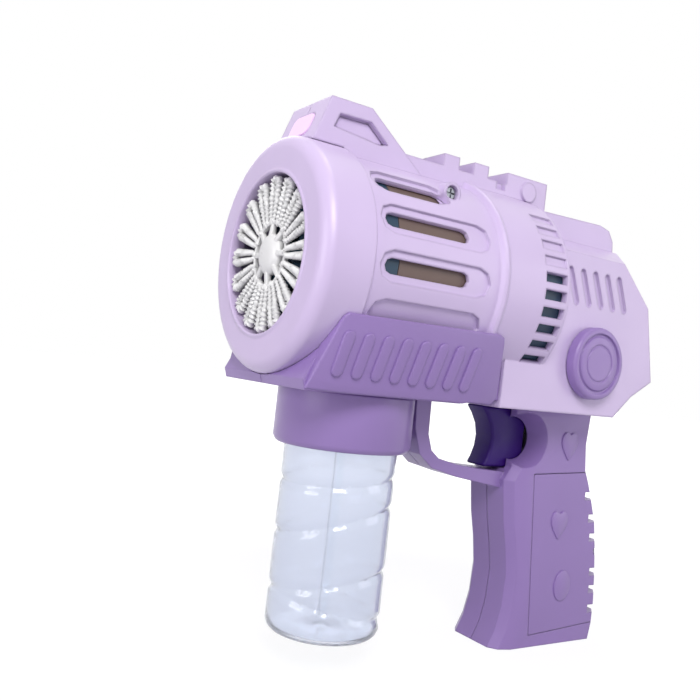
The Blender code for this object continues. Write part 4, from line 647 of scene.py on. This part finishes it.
class BUBBLE_OT_shell(bpy.types.Operator):
    """Left and right body shells with slots, vents, rails and the lamp's sight"""
    bl_idname = "bubble.shell"
    bl_label = "Body shells"

    # millimetres: the slanted grooves in the rear housing, the top slot and the sight's pocket
    GROOVES, PITCH, WIDTH, DEPTH = 5, 7.8, 3.1, 1.3
    GROOVE_TOP, GROOVE_FOOT = (127.0, 12.7), (132.3, 0.0)
    SLOT, SLOT_WIDTH, SLOT_ANGLE = (31.4, 56.6), 6.4, 43.2
    POCKET = ((18.3, 53.3), (31.6, 53.6), (39.6, 47.3), (36.4, 46.7), (16.4, 48.7))
    POCKET_FLOOR = 12.4
    # the wall behind the vents: x of its front, length, inner and outer radius, angles in degrees
    LINER_X, LINER_LONG, LINER_IN, LINER_OUT = 100.6, 16.2, 39.9, 40.5
    LINER_START, LINER_SPAN = 11, 53

    def execute(self, context):
        side_y = 33.0                          # flat side of the rear housing
        for name, side in (("left", -1), ("right", 1)):
            shell = copied("body_" + name, "shell_" + name)
            grooves = []
            for k in range(self.GROOVES):
                (x0, z0), (x1, z1) = self.GROOVE_TOP, self.GROOVE_FOOT
                outline = stadium(x0 + self.PITCH * k, z0, x1 + self.PITCH * k, z1, self.WIDTH)
                grooves.append(extruded("groove", outline, side * (side_y + 1),
                                        side * (side_y - self.DEPTH)))
            carved(shell, joined("grooves", grooves))
            outline = stadium(self.SLOT[0], 0, self.SLOT[1], 0, self.SLOT_WIDTH)
            slot = extruded("slot", outline, side * 39.0, side * 47.0)
            lift = Matrix.Rotation(side * radians(self.SLOT_ANGLE), 4, "X")
            slot.data.transform(Matrix.Translation(at(0, 0, 0)) @ lift
                                @ Matrix.Translation(-at(0, 0, 0)))
            carved(shell, slot)
            carved(shell, extruded("pocket", self.POCKET, side * self.POCKET_FLOOR, side * 16.0))
            even_barrel(shell)
            settled(shell, "root", "lavender_shell", "body_" + name)
        self.liners()
        return {"FINISHED"}

    def liners(self):
        """Teal walls close behind the open vents, in the teal that is darkened to paint the shade
        inside the barrel.
        """
        profile = [(0, self.LINER_IN), (self.LINER_LONG, self.LINER_IN),
                   (self.LINER_LONG, self.LINER_OUT), (0, self.LINER_OUT), (0, self.LINER_IN)]
        start = radians(self.LINER_START)
        out = Vector((0, -cos(start), sin(start)))
        left = turned("vent_liner_left", profile, at(self.LINER_X, 0, 0), "X", 20, out,
                      -radians(self.LINER_SPAN))
        settled(smoothed(left), "root", "teal_inner")
        settled(smoothed(mirrored_copy(left, "vent_liner_right")), "root", "teal_inner")


class BUBBLE_OT_caps(bpy.types.Operator):
    """Round caps on the rear housing, with a grooved rim and a raised inner disc"""
    bl_idname = "bubble.caps"
    bl_label = "Side caps"

    STAND = 5                                  # millimetres that a cap stands out
    # (out from the housing, radius): spigot, edge, rim, groove, ring, fine groove and disc
    PROFILE = ((-6, 0), (-6, 3), (0, 3), (0, 15.1), (0.4, 15.5), (3.6, 15.5), (4.3, 15.3),
               (4.8, 14.8), (5.0, 14.1), (5.0, 13.1), (4.8, 12.9), (4.1, 12.8), (4.0, 12.6),
               (4.0, 11.8), (4.2, 11.6), (4.7, 11.4), (4.85, 11.1), (4.85, 8.3), (4.5, 8.0),
               (4.5, 7.5), (4.85, 7.2), (4.85, 0))

    def execute(self, context):
        for name, side in (("left", -1), ("right", 1)):
            node = "side_cap_" + name
            low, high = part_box(node)
            middle = (low + high) / 2
            base = high.y - self.STAND * MM if side > 0 else low.y + self.STAND * MM
            centre = Vector((middle.x, base, middle.z))
            profile = [(side * a, r) for a, r in self.PROFILE]
            cap = turned("cap_" + name, profile, centre, "Y", 72)
            settled(smoothed(cap, 32), "root", "purple_shell", node)
        return {"FINISHED"}


class BUBBLE_OT_cradle(bpy.types.Operator):
    """Cradle halves with flared side panels and slanted round-ended ribs"""
    bl_idname = "bubble.cradle"
    bl_label = "Cradle"

    # (x, z) outline of a side panel, its wall, the height and half width of its foot, and its lean
    PANEL = ((5.2, -46.8), (6.6, -43.0), (13.0, -21.6), (14.6, -19.8), (84.2, -19.4),
             (86.6, -20.4), (87.4, -22.6), (92.4, -44.0), (90.4, -46.8), (78.4, -46.8),
             (76.0, -47.3), (20.0, -47.3))
    WALL, FOOT_Z, FOOT, FLARE = 1.4, -47.4, 32.2, 8.5 / 28.0

    def execute(self, context):
        sizes = context.scene.bubble_sizes
        for name, side in (("left", -1), ("right", 1)):
            half = smoothed(copied("cradle_" + name, "trough_" + name), 30)
            settled(half, "root", "purple_shell", "cradle_" + name)
            panel = extruded("cradle_panel_" + name, self.PANEL, side * (self.FOOT - self.WALL),
                             side * self.FOOT)
            self.flare([v for v in panel.data.vertices
                        if abs(v.co.y) > (self.FOOT - self.WALL / 2) * MM], side)
            carved(rounded(panel, 0.7, 3, 20), self.barrel())
            settled(smoothed(panel, 30), "root", "purple_shell")
            ribs = [self.rib(sizes, k, side) for k in range(sizes.rib_count)]
            settled(smoothed(joined("cradle_ribs_" + name, ribs), 40), "root", "purple_shell")
        return {"FINISHED"}

    def rib(self, sizes, k, side):
        """One rib, standing on the flared panel. The rear ones are a little longer."""
        share = k / (sizes.rib_count - 1)
        outline = stadium(16.9 + 58.0 * share, -28.0, 15.7 + 57.8 * share, -39.6 - share,
                          sizes.rib_width / MM)
        rib = extruded("rib", outline, side * (self.FOOT - 0.5),
                       side * (self.FOOT + sizes.rib_relief / MM))
        rounded(rib, 0.45, 3, 40)
        self.flare(rib.data.vertices, side)
        return rib

    def flare(self, vertices, side):
        """Lean points outwards with their height above the cradle's foot."""
        for vertex in vertices:
            vertex.co.y += side * (vertex.co.z - at(0, 0, self.FOOT_Z).z) * self.FLARE

    def barrel(self):
        """The space of the barrel, its ring and its bead, a little wider."""
        ring, barrel, bead = 44.15, 42.15, 43.65
        profile = [(-3, 0), (-3, ring), (20.9, ring), (20.9, barrel), (78.8, barrel),
                   (78.8, bead), (120, bead), (120, 0)]
        return turned("barrel_space", profile, at(0, 0, 0), steps=128)


class BUBBLE_OT_collar(bpy.types.Operator):
    """Turned skirt round the bottle's neck, with the threaded socket inside it"""
    bl_idname = "bubble.collar"
    bl_label = "Collar"

    def execute(self, context):
        low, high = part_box("bottle_collar")
        tall = (high.z - low.z) / MM
        outer = (high.x - low.x) / 2 / MM
        wall, socket, rim, bore = 2.2, 17.0, 9.0, 2.3  # bore: the dip tube's hole
        inner, roof = outer - wall, tall - wall
        profile = [(tall, bore), (tall, outer - 0.4), (tall - 0.4, outer), (2.2, outer),
                   (0.5, outer - 0.9), (0.0, outer - 1.6), (0.0, inner), (roof, inner),
                   (roof, socket + 2), (rim, socket + 2), (rim, socket),
                   (roof, socket), (roof, bore), (tall, bore)]
        centre = Vector(((low.x + high.x) / 2, 0, low.z))
        skirt = smoothed(turned("collar_skirt", profile, centre, "Z", 96), 32)
        settled(skirt, "root", "purple_shell", "bottle_collar")
        return {"FINISHED"}


class BUBBLE_OT_bottle(bpy.types.Operator):
    """Blown clear bottle with tilted ring grooves and a thick base"""
    bl_idname = "bubble.bottle"
    bl_label = "Bottle"

    # height in millimetres below the barrel's axis, and slopes along X and Y
    GROOVES = ((-81.6, 0.10, 0.0), (-97.4, 0.24, -0.16), (-120.9, 0.16, -0.16),
               (-129.9, -0.20, 0.06))

    def execute(self, context):
        wide = BOTTLE_RADIUS / MM
        low = (BOTTLE_LOW.z - AXIS_Z) / MM
        neck = (BOTTLE_HIGH.z - AXIS_Z) / MM
        shoulder, wall = neck - 9.0, 0.5
        thread, bore = 16.5, 15.7              # outer and inner radius of the neck
        outer = [(low + 1.4, 0), (low + 0.4, 2.6), (low, 4), (low, wide - 3.6),
                 (low + 0.5, wide - 1.6), (low + 1.5, wide - 0.6), (low + 3.2, wide)]
        rows = range(int(low) + 6, int(shoulder) - 3)
        outer += [(z, wide) for z in rows]
        outer += [(shoulder - 3.0, wide - 0.2), (shoulder - 1.2, wide - 1.4), (shoulder, 17.4),
                  (shoulder + 0.6, thread), (neck, thread)]
        inner = [(neck, bore), (shoulder - 0.2, bore), (shoulder - 1.8, wide - 2.2),
                 (shoulder - 3.6, wide - 0.6)]
        inner += [(z, wide - wall) for z in reversed(rows)]
        inner += [(low + 3.4, wide - 0.6), (low + 1.8, wide - 1.6), (low + 1.0, wide - 3.6),
                  (low + 1.2, 4), (low + 2.2, 0)]
        centre = at((BOTTLE_X - MOUTH_X) / MM, 0, 0)
        bottle = turned("clear_bottle", outer + inner, centre, "Z", 96)
        self.groove(bottle, context.scene.bubble_sizes.bottle_groove)
        settled(smoothed(bottle, 40), "bottle", "clear_pet", "bottle")
        return {"FINISHED"}

    def groove(self, bottle, depth):
        """Draw both walls in along each tilted ring. The base and neck lie further in."""
        width, body = 1.3 * MM, BOTTLE_RADIUS - 1.2 * MM
        for vertex in bottle.data.vertices:
            spot = vertex.co
            side = Vector((spot.x - BOTTLE_X, spot.y, 0))
            if side.length < body:
                continue
            pull = 0.0
            for height, lean_x, lean_y in self.GROOVES:
                plane = AXIS_Z + height * MM + lean_x * side.x + lean_y * side.y
                pull += exp(-((spot.z - plane) / width) ** 2)
            vertex.co = spot - side.normalized() * depth * min(pull, 1.0)


class BUBBLE_OT_wheel(bpy.types.Operator):
    """White bubble wheel: ribbed loops on a star hub"""
    bl_idname = "bubble.wheel"
    bl_label = "Bubble wheel"

    FACE, LOOP_X, LOOP_RADIUS = 2.2, 2.7, 20.0  # depths behind the mouth, and the loops' middle
    # one loop: length of its straight sides, radii of its bends and tube, height of a rib
    STRETCH, BEND, THICK, RIB, TAPER = 12.4 * MM, 1.75 * MM, 0.85 * MM, 0.62 * MM, 0.75
    CUTS, TURN_STEPS = 15, 16                  # rings of the tube along its sides and round it

    def execute(self, context):
        count = context.scene.bubble_sizes.wheel_loops
        centre = at(self.FACE, 0, 0)
        loops = copies_round(self.loop(), count, centre, "X")
        arms = copies_round(self.arm(), count // 2, centre, "X")
        hub = turned("hub", [(-1.7, 0), (-1.7, 3.0), (-1.4, 4.6), (-0.7, 6.2), (0.3, 7.4),
                             (0.9, 7.7), (2.4, 7.7), (2.4, 1.8), (1.4, 1.8), (1.4, 0)],
                     centre, "X", 48)
        ring = turned("ring", [(0.5, 11.2), (0.2, 12.0), (0.5, 12.8), (2.0, 12.8), (2.0, 11.2),
                               (0.5, 11.2)], centre, "X", 64)
        wheel = smoothed(joined("ribbed_wheel", loops + arms + [hub, ring]), 50)
        settled(wheel, "wheel", "white_wheel", "bubble_wheel")
        return {"FINISHED"}

    def loop(self):
        """One long loop whose tube is ribbed across, wider at its outer end."""
        stretch = self.STRETCH
        bpy.ops.object.select_all(action="DESELECT")
        bpy.ops.mesh.primitive_torus_add(major_segments=self.TURN_STEPS, minor_segments=10,
                                         major_radius=self.BEND, minor_radius=self.THICK,
                                         location=(0, 0, 0), rotation=(0, pi / 2, 0))
        loop = bpy.context.object
        loop.name = "loop"
        bpy.ops.object.transform_apply(location=False, rotation=True, scale=False)
        edit(loop, "VERT")
        hair = 0.02 * MM
        pick(loop, lambda v: v.co.z > hair, "verts")
        bpy.ops.transform.translate(value=(0, 0, stretch))
        bpy.ops.mesh.select_mode(type="EDGE")
        pick(loop, lambda e: abs(e.verts[0].co.z - e.verts[1].co.z) > 0.6 * stretch, "edges")
        bpy.ops.mesh.subdivide(number_cuts=self.CUTS)
        bpy.ops.mesh.select_mode(type="VERT")
        pitch = stretch / (self.CUTS + 1)

        def on_rib(v):
            """Every other ring of the tube, along its sides and round its ends."""
            if -hair <= v.co.z <= stretch + hair:
                return round(v.co.z / pitch) % 2 == 0
            middle = stretch if v.co.z > 0 else 0
            angle = Vector((v.co.y, v.co.z - middle)).angle_signed(Vector((1, 0)))
            return round(angle / (tau / self.TURN_STEPS)) % 2 == 0

        pick(loop, on_rib, "verts")
        bpy.ops.transform.shrink_fatten(value=self.RIB)
        bpy.ops.mesh.select_all(action="SELECT")
        bpy.ops.transform.translate(value=(0, 0, -stretch / 2))
        close_edit()
        applied(loop, "SIMPLE_DEFORM", deform_method="TAPER", deform_axis="Z", factor=self.TAPER)
        only(loop)
        loop.location = at(self.LOOP_X, 0, self.LOOP_RADIUS)
        bpy.ops.object.transform_apply(location=True, rotation=True, scale=True)
        return loop

    def arm(self):
        """One broad tapered arm from the hub to the loops."""
        root, tip, width = 5.0, 12.4, 2.2
        outline = [(-0.6, root), (0.4, tip), (2.0, tip), (2.2, root)]
        arm = chain("arm", [at(self.FACE + a, -width / 2, r) for a, r in outline])
        bpy.ops.mesh.edge_face_add()
        bpy.ops.mesh.extrude_region_move(TRANSFORM_OT_translate={"value": (0, width * MM, 0)})
        bpy.ops.mesh.select_all(action="SELECT")
        bpy.ops.mesh.normals_make_consistent(inside=False)
        close_edit()
        return rounded(arm, 0.5, 2, 40)


class BUBBLE_OT_grip(bpy.types.Operator):
    """Handle shells with a notched back edge, the battery door and their raised hearts"""
    bl_idname = "bubble.grip"
    bl_label = "Handle"

    # height of each notch and the back edge's place there
    NOTCHES = ((-86.0, 180.1), (-96.5, 184.0), (-105.5, 186.0), (-121.8, 188.6),
               (-130.0, 189.3), (-139.2, 189.8))
    # a notch's block: size, how far in from the back edge, side, and the chamfer's degrees
    BLOCK, INSET, ASIDE, CHAMFER = (13.5, 5.0, 3.8), 2.5, 13.75, 42

    def execute(self, context):
        for name, side in (("left", -1), ("right", 1)):
            half = carved(copied("handle_" + name, "grip_" + name), self.notches(side))
            settled(smoothed(half, 30), "root", "purple_shell", "handle_" + name)
        door = carved(copied("battery_door", "door_cover"), self.notches(-1))
        settled(smoothed(door, 30), "battery_door", "purple_shell", "battery_door")
        self.heart("grip_heart", 156.9, -62.0, "root")
        self.heart("door_heart", 155.4, -98.0, "battery_door")
        self.heart("door_oval", 161.5, -127.1, "battery_door", pointed=False)
        return {"FINISHED"}

    def notches(self, side):
        """Blocks that notch one chamfer of the handle's back edge."""
        blocks = []
        for height, edge in self.NOTCHES:
            bpy.ops.object.select_all(action="DESELECT")
            place = at(edge - self.INSET, side * self.ASIDE, height)
            bpy.ops.mesh.primitive_cube_add(size=MM, location=place, scale=self.BLOCK,
                                            rotation=(0, 0, -side * radians(self.CHAMFER)))
            bpy.ops.object.transform_apply(location=True, rotation=True, scale=True)
            blocks.append(bpy.context.object)
        return joined("notches", blocks)

    def heart(self, name, x, z, body, pointed=True):
        """A low raised heart, or an oval, on the left side of the grip."""
        wide, tall, points = 5.2, 7.0, 40      # half width and half height
        sunk, proud = 0.3, 0.6
        outline = []
        for k in range(points):
            a = tau * k / points
            u, v = sin(a), cos(a)
            if pointed:
                u = 0.6 * sin(a) ** 3 + 0.4 * u
                v = (13 * cos(a) - 5 * cos(2 * a) - 2 * cos(3 * a) - cos(4 * a)) / 25 + 0.4 * v
            outline.append((x + wide * u, z + tall * v))
        side_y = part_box("handle_left")[0].y / MM
        plate = extruded(name, outline, side_y + sunk, side_y - proud)
        settled(smoothed(rounded(plate, 0.3, 2, 50), 40), body, "purple_shell")


class BUBBLE_OT_trigger(bpy.types.Operator):
    """Trigger with well-rounded edges"""
    bl_idname = "bubble.trigger"
    bl_label = "Trigger"

    def execute(self, context):
        blade = smoothed(rounded(copied("trigger", "trigger_blade"), 0.4, 2, 25), 35)
        settled(blade, "trigger", "dark_purple_trigger", "trigger")
        return {"FINISHED"}


class BUBBLE_OT_spring(bpy.types.Operator):
    """Coiled return spring of the trigger, as one fixed coil on the root body: it does not shorten
    when the trigger is pulled
    """
    bl_idname = "bubble.spring"
    bl_label = "Trigger spring"

    def execute(self, context):
        low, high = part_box("trigger_spring")
        wire, turns, steps = 0.3 * MM, 6, 16   # radius of the wire, coils, and points of a coil
        radius = (high.z - low.z) / 2 - wire
        long = high.x - low.x - 2 * wire
        curve = bpy.data.curves.new("coil", "CURVE")
        curve.dimensions = "3D"
        curve.bevel_depth = wire
        curve.bevel_resolution = 2
        line = curve.splines.new("POLY")
        line.points.add(turns * steps)
        for k, point in enumerate(line.points):
            a = tau * k / steps
            point.co = (low.x + wire + long * k / (turns * steps), radius * cos(a),
                        (low.z + high.z) / 2 + radius * sin(a), 1)
        coil = bpy.data.objects.new("spring_coil", curve)
        bpy.context.collection.objects.link(coil)
        only(coil)
        bpy.ops.object.convert(target="MESH")
        coil = settled(smoothed(bpy.context.object, 60), "root", "steel_shaft", "trigger_spring")
        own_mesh(coil)
        return {"FINISHED"}


# ---------------------------------------------------------------- panel and registration

STEPS = ("stage", "finishes", "nose", "shell", "caps", "cradle", "collar", "bottle", "wheel",
         "grip", "trigger", "spring")


class BUBBLE_PT_panel(bpy.types.Panel):
    """Lists the steps, sizes and colours of the bubble machine"""
    bl_label = "Bubble machine"
    bl_idname = "BUBBLE_PT_panel"
    bl_space_type = "VIEW_3D"
    bl_region_type = "UI"
    bl_category = "Bubble machine"

    def draw(self, context):
        for group in (context.scene.bubble_sizes, context.scene.bubble_colours):
            for name in group.__annotations__:
                self.layout.prop(group, name)
        for step in STEPS:
            self.layout.operator("bubble." + step)


CLASSES = (BubbleMachineSizes, BubbleMachineColours, BUBBLE_OT_stage, BUBBLE_OT_finishes,
           BUBBLE_OT_nose, BUBBLE_OT_shell, BUBBLE_OT_caps, BUBBLE_OT_cradle, BUBBLE_OT_collar,
           BUBBLE_OT_bottle, BUBBLE_OT_wheel, BUBBLE_OT_grip, BUBBLE_OT_trigger,
           BUBBLE_OT_spring, BUBBLE_PT_panel)


def register():
    """Register the classes and give the scene its sizes and colours."""
    for item in CLASSES:
        bpy.utils.register_class(item)
    bpy.types.Scene.bubble_sizes = PointerProperty(type=BubbleMachineSizes)
    bpy.types.Scene.bubble_colours = PointerProperty(type=BubbleMachineColours)


def unregister():
    """Remove what register added."""
    del bpy.types.Scene.bubble_colours
    del bpy.types.Scene.bubble_sizes
    for item in reversed(CLASSES):
        bpy.utils.unregister_class(item)


def main():
    """Build every piece in order."""
    register()
    for step in STEPS:
        getattr(bpy.ops.bubble, step)()


if __name__ == "__main__":
    main()
